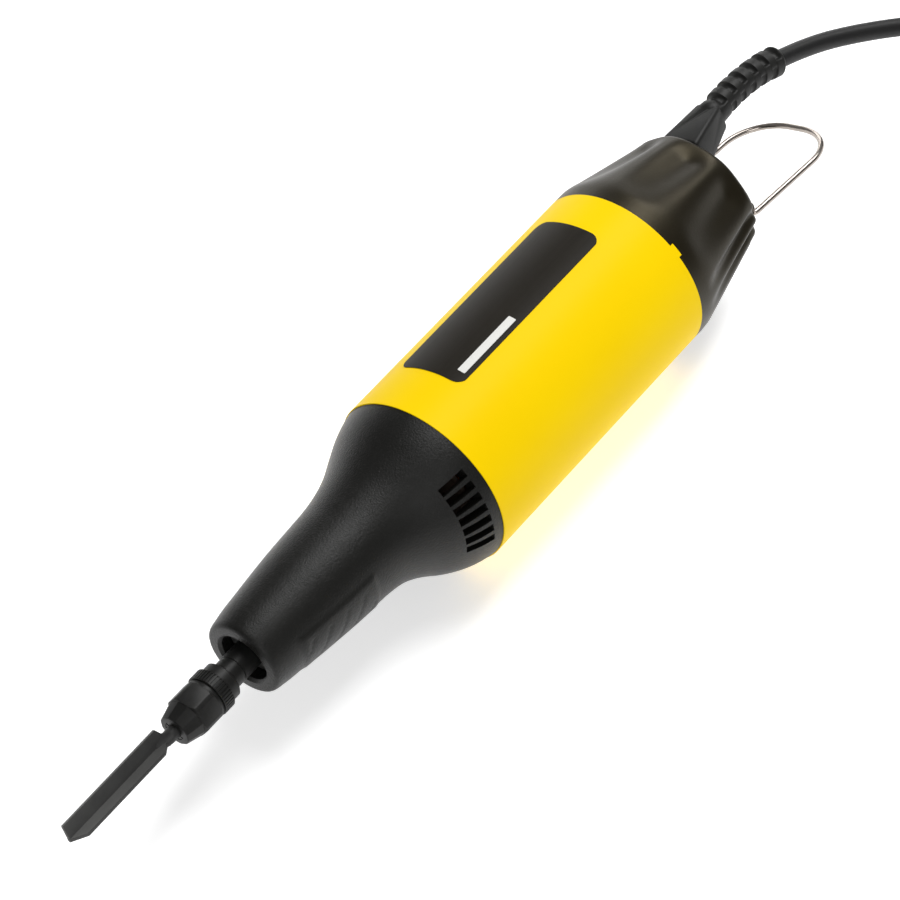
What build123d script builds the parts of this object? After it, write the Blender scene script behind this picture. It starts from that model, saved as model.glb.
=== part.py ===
from build123d import *
import math
import os

# Electric carving pen with a V-gouge, lying on its barrel, in millimetres.
# The tool is drawn with its motor axis on X, its tail towards +X and its label towards +Z.
# It is then rolled about that axis and lifted until the barrel touches the surface at z = 0.

# Stance and clearances
roll_angle = 23.5
fit_gap = 0.03
running_gap = 0.04
seam_gap = 0.1
label_gap = 0.03
overrun = 2.0

# Barrel
barrel_radius = 27.0
barrel_wall = 2.2
barrel_length = 90.7
joint_tab_width = 4.0
joint_tab_length = 1.1
joint_tab_angle = 62.0
spigot_length = 6.0
spigot_wall = 2.2

# Nose and handle
nose_length = 75.0
spindle_rise = 3.1
nose_radius_shares = (
    0.431, 0.463, 0.485, 0.509, 0.531, 0.549, 0.563, 0.578, 0.617, 0.702, 0.826, 0.93, 0.989,
)
nose_rise_shares = (1.0, 1.0, 1.0, 0.97, 0.94, 0.89, 0.85, 0.82, 0.76, 0.48, 0.14, 0.02, 0.0)
nose_edge_rounding = 1.6
nose_bore_radius_share = 0.31111
nose_bore_depth = 9.0
nose_bore_chamfer = 0.5
vent_count = 7
vent_length = 8.0
vent_width = 1.9
vent_pitch_angle = 8.45
vent_centre_angle = 87.0
vent_setback = 7.1
vent_depth_share = 0.29630
pad_start = 9.5
pad_length = 29.0
pad_angle = 112.0
pad_height = 0.4
pad_width = 15.0
pad_groove_count = 4
pad_groove_pitch = 6.4
pad_groove_width = 0.6
pad_groove_depth = 0.3
pad_groove_slant = 28.0

# Plunger, its bushes and its spring
plunger_radius = 4.2
plunger_travel = 1.4
bush_radius = 6.5
front_bush_length = 12.0
rear_bush_length = 11.0
spring_room_length = 12.0
spring_room_radius_share = 0.29630
seal_thickness = 4.0
ring_thickness = 1.7
ring_radius_share = 0.26667
return_wire_radius = 0.6
return_coil_radius_share = 0.21852
return_coil_turns = 4
ball_radius = 2.4
ball_seat_share = 0.3
ball_gap = 0.4
groove_depth = 0.3
groove_width = 1.2
groove_setback = 3.4

# Chuck
sleeve_reach = 5.9
collar_length = 4.8
collar_radius = 5.6
flange_length = 3.6
flange_radius = 6.45
flange_tooth_count = 24
flange_tooth_depth = 0.3
nut_neck_length = 1.2
nut_neck_radius = 6.0
nut_body_length = 6.9
nut_across_flats = 12.0
nut_corner_radius = 6.5
nut_nose_length = 5.0
nut_nose_radius = 4.6
nut_mouth_radius = 2.9
thread_radius = 4.6
thread_length = 6.0
collet_radius = 3.6
collet_length = 14.0
collet_tip_radius = 2.8
collet_taper_length = 5.0
collet_slit_width = 0.5
collet_slit_count = 4
collet_slit_share = 0.75

# Gouge
shank_radius = 2.0
shank_depth = 12.0
neck_length = 2.2
crank_length = 3.4
crank_offset = 1.6
crank_angle = 48.0
crank_notch_share = 0.2
blade_length = 40.6
blade_arm = 4.1
blade_thickness = 0.9
blade_half_angle = 45.0
blade_turn = 35.0
blade_keel_drop = 1.9

# Motor
shaft_radius = 2.5
bearing_radius_share = 0.29630
bearing_width = 5.0
bearing_plate_radius_share = 0.50370
bearing_plate_length = 6.5
bearing_plate_setback = 20.0
cam_radius_share = 0.23704
cam_tilt = 12.0
cam_setback = 26.4
cam_hub_radius_share = 0.14074
cam_gap = 0.3
cam_room_radius_share = 0.31852
cam_room_length = 9.0
fan_radius_share = 0.74074
fan_hub_radius_share = 0.22222
fan_setback = 9.0
fan_length = 6.5
fan_disc_thickness = 1.2
fan_blade_count = 9
fan_blade_thickness = 1.2
fan_room_radius_share = 0.77778
core_start_share = 0.08820
core_length_share = 0.33076
armature_radius_share = 0.47407
armature_slot_count = 12
armature_slot_radius_share = 0.06296
armature_slot_depth_share = 0.09259
winding_radius_share = 0.42593
winding_overhang = 5.0
stator_gap = 0.1
stator_flat_share = 0.71111
stator_ring_radius_share = 0.66296
pole_radius_share = 0.49259
pole_half_angle = 56.0
coil_half_angle = 84.0
coil_overhang = 4.5
coil_gap = 0.2
commutator_start_share = 0.51819
commutator_length_share = 0.11025
commutator_radius_share = 0.29630
commutator_bar_count = 24
commutator_slit_width = 0.4
commutator_slit_depth = 0.7
holder_length = 7.0
holder_height_share = 0.31111
holder_wall = 1.0
holder_inner_share = 0.34074
holder_outer_share = 0.82222
holder_foot_height_share = 0.22222
brush_length_share = 0.29630
brush_gap = 0.1
brush_air = 0.15
brush_wire_radius = 0.35
brush_coil_radius_share = 0.07037
brush_coil_turns = 3.5

# Rear bracket and its screws
bracket_start_share = 0.68357
bracket_length = 6.0
bracket_gap = 0.1
post_radius = 3.2
post_spread_share = 0.44444
post_length = 32.0
screw_radius = 1.5
screw_head_radius = 2.5
screw_head_length = 2.2
motor_screw_offset_share = 0.81481
motor_screw_bite = 5.6
boss_radius = 2.9
boss_length = 6.0
cap_screw_bite = 18.0

# Rear cap
cap_length = 36.3
cap_land = 6.0
cap_rear_radius_share = 0.75556
cap_wall = 1.8
cap_rear_wall = 3.0
cap_shoulder_rounding = 25.0
cap_rim_rounding = 1.2
bay_pair_count = 2
bay_first_angle = 25.0
bay_pitch_angle = 46.0
bay_cutter_radius = 15.0
bay_depth = 2.2
flute_count = 9
flute_pitch_angle = 20.0
flute_first_angle = 100.0
flute_cutter_radius = 3.2
flute_depth = 1.7
flute_length = 26.0
air_slot_count = 9
air_slot_width = 1.6
air_slot_length = 5.0
air_slot_offset_share = 0.25926
air_slot_pitch_angle = 20.0

# Hanging bail
bail_wire_radius = 0.9
bail_half_width_share = 0.59630
bail_length = 41.0
bail_corner_radius_share = 0.51111
bail_pin_bend = 1.3
bail_pivot_offset = 3.3
bail_pivot_drop_share = 0.23704
bail_swing = 5.3
ear_outer_share = 0.51481
ear_thickness = 2.6
ear_radius = 2.6
bail_pin_overhang = 0.4

# Switch
slider_setback = 14.2
slider_length = 5.0
slider_travel = 6.0
slider_neck_height = 3.6
slider_slot_gap = 0.2
knob_length = 11.0
knob_height = 8.0
knob_rise = 1.5
knob_gap = 0.25
knob_ridge_count = 4
knob_ridge_pitch = 2.0
knob_ridge_width = 0.8
knob_ridge_depth = 0.5
foot_length = 8.0
foot_height = 5.2
foot_inset = 0.3
foot_thickness = 0.5
switch_room = 0.7
switch_height = 10.0
switch_inner_share = 0.57778
switch_foot_gap = 0.1

# Wiring in the rear
block_start_share = 0.81588
block_length = 18.0
block_width_share = 0.88889
block_top_share = 0.57778
rest_gap = 0.1
capacitor_length = 20.0
capacitor_depth_share = 0.29630
lead_radius = 0.8
lead_spread_share = 0.37037
lead_rise_share = 0.29630
lead_bend = 2.0
lead_hole_gap = 0.3
clamp_setback = 21.0
clamp_length = 6.0
clamp_width_share = 0.66667
clamp_thickness = 2.0
clamp_screw_radius = 1.2
clamp_screw_head_radius = 2.2
clamp_screw_head_length = 1.5
clamp_screw_bite = 4.0
clamp_boss_inner_share = 0.17037
clamp_boss_outer_share = 0.34815
clamp_screw_spread_share = 0.25926

# Label
label_start_share = 0.16538
label_length_share = 0.69680
label_width = 21.7
label_thickness = 0.15
label_corner = 3.0
label_angle = 2.0
strip_start_share = 0.20728
strip_length_share = 0.25138
strip_width = 2.4
strip_thickness = 0.08
strip_angle = 20.0

# Strain relief
boot_rise_share = 0.51852
boot_base_width = 14.2
boot_base_height = 13.2
boot_base_corner = 3.6
boot_neck_size = 8.8
boot_neck_corner = 4.1
boot_hole_radius = 4.3
boot_flange_radius = 5.3
boot_flange_length = 2.0
boot_neck_step = (16.9, 1.818, 0.761)
boot_end_step = (46.9, 0.518, -2.939)
boot_lean = 4.8
boot_rib_count = 6
boot_slot_width = 1.3
boot_slot_angle = 40.0
boot_end_rounding = 1.2
boot_core_radius = 3.4
boot_slot_edge = 1.0

# Cord, coil and plug
cord_radius = 2.7
cord_first_run = 14.0
cord_last_run = 13.0
cord_route = (
    (31.1, -10.4, 29.2),
    (47.6, -21.0, 25.2),
    (63.1, -30.4, 22.4),
    (79.1, -37.5, 20.9),
)
tail_first_run = 13.0
tail_route = (
    (146.1, -35.9, 4.2),
    (160.1, -32.1, 6.85),
    (173.1, -28.0, 6.85),
)
coil_step = (114.1, -4.1)
coil_inner_radius = 24.0
coil_pitch = 6.0
coil_layer_rise = 5.9
coil_layer_turns = (2.0, 1.5, 1.5, 1.5)
coil_drop_turns = 0.5
plug_width = 35.3
plug_height = 13.7
plug_corner = 5.6
plug_front_length = 13.0
plug_taper_length = 18.0
plug_neck_width = 12.0
plug_neck_height = 11.0
plug_neck_corner = 5.0
plug_sleeve_radius = 4.4
plug_sleeve_length = 8.0
plug_sleeve_groove = 0.7
plug_sleeve_grooves = 3
plug_groove_width = 1.2
plug_pin_radius = 2.0
plug_pin_length = 19.0
plug_pin_root = 6.0
plug_pin_root_radius = 1.5
plug_pin_neck = 0.5
plug_pin_spacing = 18.6

# Sizes that follow the barrel
ring_radius = ring_radius_share * barrel_radius
return_coil_radius = return_coil_radius_share * barrel_radius
bearing_radius = bearing_radius_share * barrel_radius
bearing_plate_radius = bearing_plate_radius_share * barrel_radius
cam_radius = cam_radius_share * barrel_radius
cam_hub_radius = cam_hub_radius_share * barrel_radius
cam_room_radius = cam_room_radius_share * barrel_radius
fan_radius = fan_radius_share * barrel_radius
fan_hub_radius = fan_hub_radius_share * barrel_radius
fan_room_radius = fan_room_radius_share * barrel_radius
armature_radius = armature_radius_share * barrel_radius
armature_slot_radius = armature_slot_radius_share * barrel_radius
armature_slot_depth = armature_slot_depth_share * barrel_radius
winding_radius = winding_radius_share * barrel_radius
stator_flat = stator_flat_share * barrel_radius
stator_ring_radius = stator_ring_radius_share * barrel_radius
pole_radius = pole_radius_share * barrel_radius
commutator_radius = commutator_radius_share * barrel_radius
holder_height = holder_height_share * barrel_radius
holder_inner = holder_inner_share * barrel_radius
holder_outer = holder_outer_share * barrel_radius
holder_foot_height = holder_foot_height_share * barrel_radius
brush_length = brush_length_share * barrel_radius
brush_coil_radius = brush_coil_radius_share * barrel_radius
post_spread = post_spread_share * barrel_radius
motor_screw_offset = motor_screw_offset_share * barrel_radius
cap_rear_radius = cap_rear_radius_share * barrel_radius
ear_outer = ear_outer_share * barrel_radius
bail_half_width = bail_half_width_share * barrel_radius
bail_corner_radius = bail_corner_radius_share * barrel_radius
bail_pivot_drop = bail_pivot_drop_share * barrel_radius
switch_inner = switch_inner_share * barrel_radius
block_width = block_width_share * barrel_radius
block_top = block_top_share * barrel_radius
capacitor_depth = capacitor_depth_share * barrel_radius
lead_spread = lead_spread_share * barrel_radius
lead_rise = lead_rise_share * barrel_radius
clamp_width = clamp_width_share * barrel_radius
clamp_boss_inner = clamp_boss_inner_share * barrel_radius
clamp_boss_outer = clamp_boss_outer_share * barrel_radius
clamp_screw_spread = clamp_screw_spread_share * barrel_radius
boot_rise = boot_rise_share * barrel_radius
nose_bore_radius = nose_bore_radius_share * barrel_radius
spring_room_radius = spring_room_radius_share * barrel_radius
vent_depth = vent_depth_share * barrel_radius
air_slot_offset = air_slot_offset_share * barrel_radius
core_start = core_start_share * barrel_length
core_length = core_length_share * barrel_length
commutator_start = commutator_start_share * barrel_length
commutator_length = commutator_length_share * barrel_length
bracket_start = bracket_start_share * barrel_length
block_start = block_start_share * barrel_length
label_start = label_start_share * barrel_length
label_length = label_length_share * barrel_length
strip_start = strip_start_share * barrel_length
strip_length = strip_length_share * barrel_length

# Places along the tool, from the front of the barrel
nose_front = -nose_length
bore_floor = nose_front + nose_bore_depth
spring_room_front = bore_floor + front_bush_length
spring_room_rear = spring_room_front + spring_room_length
rear_bush_end = spring_room_rear + rear_bush_length
ball_centre = -(cam_setback + spindle_rise * math.tan(math.radians(cam_tilt)) + plunger_travel + ball_radius
                + ball_gap)
plunger_end = ball_centre + ball_seat_share * ball_radius
collar_rear = nose_front - sleeve_reach
collar_front = collar_rear - collar_length
flange_front = collar_front - flange_length
nut_rear = flange_front - seam_gap
nut_body_rear = nut_rear - nut_neck_length
nut_body_front = nut_body_rear - nut_body_length
nut_front = nut_body_front - nut_nose_length
blade_tip = nut_front - blade_length
cap_rear = barrel_length + cap_length
boot_inner_face = cap_rear - cap_rear_wall - boot_flange_length
clamp_face = boot_rise - cord_radius
clamp_start = cap_rear - clamp_setback
clamp_middle = clamp_start + clamp_length / 2
bail_pivot = cap_rear + bail_pivot_offset
bracket_end = bracket_start + bracket_length
slider_start = barrel_length - slider_setback
switch_length = barrel_length - spigot_length - switch_room - bracket_end
core_end = core_start + core_length
barrel_inner = barrel_radius - barrel_wall
spigot_radius = barrel_inner - seam_gap
spigot_inner = spigot_radius - spigot_wall

# The origin is under the middle of the tool, strain relief included and cord left out
origin_x = -(blade_tip + cap_rear + boot_end_step[0]) / 2


def rod(start, end, radius, rise=0.0, across=0.0):
    """Round bar along X."""
    return Pos(start, across, rise) * Rot(0, 90, 0) * Cylinder(
        radius, end - start, align=(Align.CENTER, Align.CENTER, Align.MIN)
    )


def tube(start, end, outer, inner, rise=0.0):
    """Round tube along X."""
    return rod(start, end, outer, rise) - rod(start - overrun, end + overrun, inner, rise)


def block(start, end, left, right, bottom, top):
    """Box between six planes."""
    return Pos(start, left, bottom) * Box(
        end - start, right - left, top - bottom, align=(Align.MIN, Align.MIN, Align.MIN)
    )


def turned(points, rise=0.0):
    """Solid of revolution about X from points of station and radius."""
    return Pos(0, 0, rise) * revolve(make_face(Polyline(*points, close=True)), Axis.X)


def sector(start, end, inner, outer, angle, half_angle):
    """Part of a tube along X, centred at an angle from +Z towards -Y."""
    face = make_face(Polyline((start, inner), (end, inner), (end, outer), (start, outer), close=True))
    return Rot(90 + angle - half_angle, 0, 0) * revolve(face, Axis.X, 2 * half_angle)


def biarc(start, start_way, end, end_way):
    """Two tangent arcs from one point and direction to another."""
    gap = end - start
    both = start_way + end_way
    slack = 2 * (1 - start_way.dot(end_way))
    along = gap.dot(both)
    if slack < 1e-9:
        reach = gap.dot(gap) / (2 * along)
    else:
        reach = (math.sqrt(along * along + slack * gap.dot(gap)) - along) / slack
    first = start + start_way * reach
    last = end - end_way * reach
    middle = (first + last) * 0.5
    way = (last - first).normalized()
    return [TangentArc(start, middle, tangent=start_way), TangentArc(middle, end, tangent=way)]


def wound(place, turns, wire_radius, lead=0.0):
    """Round wire along a winding, with a point and a direction at each quarter turn and straight ends."""
    steps = round(turns * 4)
    stops = [place(step / 4) for step in range(steps + 1)]
    edges = []
    for (start, start_way), (end, end_way) in zip(stops[:-1], stops[1:]):
        edges += biarc(start, start_way, end, end_way)
    if lead > 0:
        first, first_way = stops[0]
        last, last_way = stops[-1]
        edges.insert(0, Line(first - first_way * lead, first))
        edges.append(Line(last, last + last_way * lead))
    path = Wire(edges)
    return sweep(Plane(path @ 0, z_dir=path % 0) * Circle(wire_radius), path), path


def least_gap(name, path, wire_radius, apart):
    """Prints the least gap between stretches of a wire that lie some way apart along it."""
    count = int(path.length / wire_radius)
    points = [path @ (index / count) for index in range(count + 1)]
    skip = int(apart / (path.length / count))
    least = path.length
    for index, point in enumerate(points):
        for other in points[index + skip:]:
            least = min(least, (point - other).length)
    print(name, "length", round(path.length, 1), "least gap", round(least - 2 * wire_radius, 2))


def bend_radii(route):
    """Largest tangent arc at each inner point of a route."""
    radii = []
    for before, point, after in zip(route[:-2], route[1:-1], route[2:]):
        first = point - before
        last = after - point
        half_turn = math.radians(first.get_angle(last)) / 2
        radii.append(0.45 * min(first.length, last.length) / math.tan(half_turn))
    return radii


def corded(name, route, radius):
    """Round cord along straight runs joined by tangent arcs."""
    radii = bend_radii(route)
    path = Wire(FilletPolyline(*route, radius=radii).edges())
    cord = sweep(Plane(path @ 0, z_dir=path % 0) * Circle(radius), path)
    share = cord.volume / (math.pi * radius**2 * path.length)
    print(name, "length", round(path.length, 1), "radii", [round(radius) for radius in radii])
    print(name, "volume share", round(share, 4))
    return cord


def laid(shape):
    """Moves a piece of the tool to where the tool lies."""
    return Pos(origin_x, 0, barrel_radius) * Rot(-roll_angle, 0, 0) * shape


def along_floor(shape):
    """Moves a piece of the cord, which is drawn from the surface up, to the same origin."""
    return Pos(origin_x, 0, 0) * shape


pieces = {}


# Nose and handle
def nose_skin(extra):
    """Outer form through circles whose centres rise from the motor axis to the plunger's axis."""
    spacing = nose_length / (len(nose_radius_shares) - 1)
    circles = []
    for index, (radius, rise) in enumerate(zip(nose_radius_shares, nose_rise_shares)):
        plane = Plane((nose_front + index * spacing, 0, rise * spindle_rise), z_dir=(1, 0, 0))
        circles.append(plane * Circle(radius * barrel_radius + extra))
    return loft(circles)


def nose_housing():
    """Hollow nose with vents on both sides, two finger pads and a spigot for the barrel."""
    skin = nose_skin(0)
    skin = fillet(skin.faces().sort_by(Axis.X)[0].edges(), nose_edge_rounding)
    pad_skin = nose_skin(pad_height)
    pad_front = nose_front + pad_start
    pad_window = block(pad_front, pad_front + pad_length, -pad_width / 2, pad_width / 2, 0, barrel_radius)
    for side in (-1, 1):
        at = Pos(0, 0, spindle_rise) * Rot(side * pad_angle, 0, 0)
        pad = pad_skin & (at * pad_window)
        for row in range(pad_groove_count):
            station = pad_front + pad_length / 2 + (row - (pad_groove_count - 1) / 2) * pad_groove_pitch
            floor = nose_reach(station) + pad_height - pad_groove_depth
            bar = block(-pad_groove_width / 2, pad_groove_width / 2, -pad_width / 4, pad_width / 4, 0,
                        barrel_radius)
            pad -= at * Pos(station, 0, floor) * Rot(0, 0, -side * pad_groove_slant) * bar
        skin += pad
    skin += rod(-overrun, spigot_length, spigot_radius)
    cam_room_front = cam_room_length + bearing_plate_setback
    plate_rear = bearing_plate_setback - bearing_plate_length
    room = turned([
        (-cam_room_front, 0),
        (-cam_room_front, cam_room_radius),
        (-bearing_plate_setback, cam_room_radius),
        (-bearing_plate_setback, bearing_plate_radius + fit_gap),
        (-plate_rear, bearing_plate_radius + fit_gap),
        (-plate_rear, (bearing_plate_radius + fan_room_radius) / 2),
        (-fan_setback - fan_blade_thickness, fan_room_radius),
        (0, spigot_inner),
        (spigot_length + overrun, spigot_inner),
        (spigot_length + overrun, 0),
    ])
    skin -= room
    skin -= rod(nose_front - overrun, bore_floor, nose_bore_radius, spindle_rise)
    skin -= rod(bore_floor - overrun, -bearing_plate_setback - overrun, bush_radius, spindle_rise)
    skin -= rod(spring_room_front, spring_room_rear, spring_room_radius, spindle_rise)
    mouth = nose_bore_radius + nose_bore_chamfer
    skin -= turned([
        (nose_front - overrun, 0),
        (nose_front - overrun, mouth),
        (nose_front, mouth),
        (nose_front + nose_bore_chamfer, nose_bore_radius),
        (nose_front + nose_bore_chamfer, 0),
    ], spindle_rise)
    for side in (-1, 1):
        boss = rod(-overrun / 2, boss_length, boss_radius, side * motor_screw_offset)
        skin += boss & rod(-overrun, boss_length, spigot_radius)
        skin -= rod(boss_length - motor_screw_bite, boss_length + overrun, screw_radius + fit_gap,
                    side * motor_screw_offset)
        for slot in range(vent_count):
            angle = side * (vent_centre_angle + (slot - (vent_count - 1) / 2) * vent_pitch_angle)
            cut = block(-vent_setback - vent_length / 2, -vent_setback + vent_length / 2, -vent_width / 2,
                        vent_width / 2, barrel_radius - vent_depth, barrel_radius)
            skin -= Rot(angle, 0, 0) * cut
    return skin


def nose_reach(station):
    """Radius of the handle at a station, between the two circles beside it."""
    place = (station - nose_front) / nose_length * (len(nose_radius_shares) - 1)
    index = min(int(place), len(nose_radius_shares) - 2)
    low = nose_radius_shares[index]
    high = nose_radius_shares[index + 1]
    return barrel_radius * (low + (place - index) * (high - low))


pieces["nose_housing"] = nose_housing()


# Barrel
def slider_slot(gap):
    """Space that the neck of the slider sweeps, with a gap all round."""
    front = slider_start - slider_travel - gap
    rear = slider_start + slider_length + gap
    half = slider_neck_height / 2 + gap
    return block(front, rear, barrel_inner - overrun, barrel_radius + overrun, -half, half)


def barrel_housing():
    """Plain tube with a small tab at its rear edge and a slot for the slider."""
    barrel = tube(0, barrel_length, barrel_radius, barrel_inner)
    tab_half_angle = math.degrees(joint_tab_width / 2 / barrel_radius)
    barrel += sector(barrel_length - overrun, barrel_length + joint_tab_length, barrel_inner + seam_gap,
                     barrel_radius, joint_tab_angle, tab_half_angle)
    return barrel - slider_slot(slider_slot_gap)


pieces["barrel_housing"] = barrel_housing()


# Rear cap
def cap_outline_radius(station):
    """Radius of the cap before its flutes are cut."""
    share = max(0, (station - barrel_length - cap_land) / (cap_length - cap_land))
    return barrel_radius + share * (cap_rear_radius - barrel_radius)


def cap_cutter(radius, depth, length):
    """Round bar along the top of the cap that cuts deepest at the rear rim and fades out."""
    fade = cap_rear - length
    start = Vector(fade, 0, cap_outline_radius(fade) + radius)
    end = Vector(cap_rear, 0, cap_rear_radius + radius - depth)
    way = (end - start).normalized()
    plane = Plane(start - way * overrun, z_dir=way)
    return extrude(plane * Circle(radius), (end - start).length + 2 * overrun)


def rear_cap():
    """Hollow tapered cap with broad bays on top, narrow flutes round the rest, a rear wall and two ears."""
    profile = make_face(Polyline(
        (barrel_length, 0),
        (barrel_length, barrel_radius),
        (barrel_length + cap_land, barrel_radius),
        (cap_rear, cap_rear_radius),
        (cap_rear, 0),
        close=True,
    ))
    corners = profile.vertices().filter_by(lambda v: v.Y > 0).sort_by(Axis.X)
    profile = fillet(corners[1], cap_shoulder_rounding)
    corners = profile.vertices().filter_by(lambda v: v.Y > 0).sort_by(Axis.X)
    profile = fillet(corners[-1], cap_rim_rounding)
    cap = revolve(profile, Axis.X)
    bay = cap_cutter(bay_cutter_radius, bay_depth, flute_length)
    for side in (-1, 1):
        for index in range(bay_pair_count):
            cap -= Rot(side * (bay_first_angle + index * bay_pitch_angle), 0, 0) * bay
    flute = cap_cutter(flute_cutter_radius, flute_depth, flute_length)
    for index in range(flute_count):
        cap -= Rot(flute_first_angle + index * flute_pitch_angle, 0, 0) * flute
    cap += rod(barrel_length - spigot_length, barrel_length + overrun, spigot_radius)
    room_end = cap_rear - cap_rear_wall
    cap -= turned([
        (barrel_length - spigot_length - overrun, 0),
        (barrel_length - spigot_length - overrun, spigot_inner),
        (barrel_length + cap_land, spigot_inner),
        (room_end, cap_rear_radius - bay_depth - cap_wall),
        (room_end, 0),
    ])
    tab_half_angle = math.degrees((joint_tab_width / 2 + seam_gap) / barrel_radius)
    cap -= sector(barrel_length - overrun, barrel_length + joint_tab_length + seam_gap, barrel_inner,
                  barrel_radius + overrun, joint_tab_angle, tab_half_angle)
    post_end = bracket_end + post_length
    for side in (-1, 1):
        cap += rod(post_end + running_gap, room_end + overrun / 2, post_radius, 0, side * post_spread)
        boss = block(clamp_start, clamp_start + clamp_length, clamp_boss_inner, clamp_boss_outer,
                     clamp_face, cap_rear_radius)
        if side < 0:
            boss = mirror(boss, Plane.XZ)
        inside = turned([
            (clamp_start, 0),
            (clamp_start, cap_outline_radius(clamp_start) - cap_wall),
            (clamp_start + clamp_length, cap_outline_radius(clamp_start + clamp_length) - cap_wall),
            (clamp_start + clamp_length, 0),
        ])
        cap += boss & inside
        cap -= Pos(clamp_middle, side * clamp_screw_spread, clamp_face) * Cylinder(
            clamp_screw_radius + fit_gap, 2 * clamp_screw_bite)
        cap -= rod(post_end - overrun, cap_rear + overrun, screw_radius + fit_gap, 0, side * post_spread)
        cap -= rod(cap_rear - screw_head_length, cap_rear + overrun, screw_head_radius + seam_gap, 0,
                   side * post_spread)
        ear = block(cap_rear, bail_pivot, ear_outer - ear_thickness, ear_outer, -bail_pivot_drop - ear_radius,
                    -bail_pivot_drop + ear_radius)
        ear += Pos(bail_pivot, ear_outer - ear_thickness / 2, -bail_pivot_drop) * Rot(90, 0, 0) * Cylinder(
            ear_radius, ear_thickness)
        ear -= Pos(bail_pivot, ear_outer, -bail_pivot_drop) * Rot(90, 0, 0) * Cylinder(
            bail_wire_radius + running_gap, 4 * ear_thickness)
        if side < 0:
            ear = mirror(ear, Plane.XZ)
        cap += ear
    cap -= rod(room_end - overrun, cap_rear + overrun, boot_hole_radius + fit_gap, boot_rise)
    cap -= rod(boot_inner_face - overrun, room_end, boot_flange_radius + fit_gap, boot_rise)
    for index in range(air_slot_count):
        angle = 180 + (index - (air_slot_count - 1) / 2) * air_slot_pitch_angle
        slot = block(room_end - overrun, cap_rear + overrun, -air_slot_width / 2, air_slot_width / 2,
                     air_slot_offset, air_slot_offset + air_slot_length)
        if abs(abs(angle - 180) - 90) > 2 * air_slot_pitch_angle:
            cap -= Rot(angle, 0, 0) * slot
    return cap


pieces["rear_cap"] = rear_cap()


# Guide bushes, dust seal, plunger, its ring, ball and spring
bush_outer = bush_radius - fit_gap
guide_radius = plunger_radius + running_gap
ring_front = spring_room_front + running_gap
ring_rear = ring_front + ring_thickness
pieces["front_bush"] = tube(bore_floor, spring_room_front, bush_outer, guide_radius, spindle_rise)
pieces["rear_bush"] = tube(spring_room_rear, rear_bush_end, bush_outer, guide_radius, spindle_rise)
pieces["dust_seal"] = tube(bore_floor - seal_thickness, bore_floor, nose_bore_radius - fit_gap, guide_radius,
                           spindle_rise)
pieces["spring_ring"] = tube(ring_front, ring_rear, ring_radius, plunger_radius + fit_gap, spindle_rise)


def spindle_rod():
    """Plunger with a groove behind the collar, a socket for the collet and a seat for the ball."""
    spindle = rod(flange_front, plunger_end, plunger_radius, spindle_rise)
    spindle += rod(flange_front - thread_length, flange_front, thread_radius, spindle_rise)
    groove_at = nose_front - groove_setback
    spindle -= tube(groove_at - groove_width, groove_at, plunger_radius + overrun,
                    plunger_radius - groove_depth, spindle_rise)
    spindle -= rod(flange_front - thread_length - overrun, nut_front + collet_length, collet_radius + fit_gap,
                   spindle_rise)
    spindle -= Pos(ball_centre, 0, spindle_rise) * Sphere(ball_radius + fit_gap)
    return spindle


pieces["spindle_rod"] = spindle_rod()
pieces["thrust_ball"] = Pos(ball_centre, 0, spindle_rise) * Sphere(ball_radius)


def return_spring():
    """Coil spring between the ring on the plunger and the rear bush."""
    start = ring_rear + running_gap + return_wire_radius
    end = spring_room_rear - running_gap - return_wire_radius
    advance = (end - start) / return_coil_turns

    def place(turn):
        angle = 2 * math.pi * turn
        point = Vector(start + advance * turn, return_coil_radius * math.cos(angle),
                       spindle_rise + return_coil_radius * math.sin(angle))
        way = Vector(advance / (2 * math.pi), -return_coil_radius * math.sin(angle),
                     return_coil_radius * math.cos(angle))
        return point, way.normalized()

    spring, path = wound(place, return_coil_turns, return_wire_radius)
    least_gap("return_spring", path, return_wire_radius, 2 * math.pi * return_coil_radius / 2)
    return spring


pieces["return_spring"] = return_spring()


# Lock collar with its toothed flange
def lock_collar():
    """Round collar with a flange that has grip teeth, seated on the plunger."""
    collar = rod(collar_front, collar_rear, collar_radius, spindle_rise)
    flange = rod(flange_front, collar_front, flange_radius, spindle_rise)
    for index in range(flange_tooth_count):
        tooth = block(flange_front - overrun, collar_front + overrun, -flange_tooth_depth, flange_tooth_depth,
                      -flange_tooth_depth, flange_tooth_depth)
        at = Pos(0, 0, spindle_rise) * Rot(index * 360 / flange_tooth_count, 0, 0) * Pos(0, 0, flange_radius)
        flange -= at * Rot(45, 0, 0) * tooth
    bore = rod(flange_front - overrun, collar_rear + overrun, plunger_radius + fit_gap, spindle_rise)
    return collar + flange - bore


pieces["lock_collar"] = lock_collar()


# Collet nut
def collet_nut():
    """Six-sided nut with a round neck behind it, a tapered nose and a bore that closes on the collet."""
    prism = extrude(Plane((nut_body_front, 0, spindle_rise), z_dir=(1, 0, 0)) * RegularPolygon(
        nut_across_flats / 2, 6, major_radius=False), nut_body_length)
    nut = prism & rod(nut_body_front, nut_body_rear, nut_corner_radius, spindle_rise)
    nut += rod(nut_body_rear, nut_rear, nut_neck_radius, spindle_rise)
    nut += turned([
        (nut_body_front, 0),
        (nut_body_front, nut_across_flats / 2),
        (nut_front, nut_nose_radius),
        (nut_front, 0),
    ], spindle_rise)
    bore_front = flange_front - thread_length - seam_gap
    nut -= rod(bore_front, nut_rear + overrun, thread_radius + running_gap, spindle_rise)
    nut -= turned([
        (bore_front + overrun, 0),
        (bore_front + overrun, collet_radius + running_gap),
        (nut_front + collet_taper_length, collet_radius + running_gap),
        (nut_front, collet_tip_radius + running_gap),
        (nut_front - overrun, nut_mouth_radius),
        (nut_front - overrun, 0),
    ], spindle_rise)
    return nut


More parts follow.
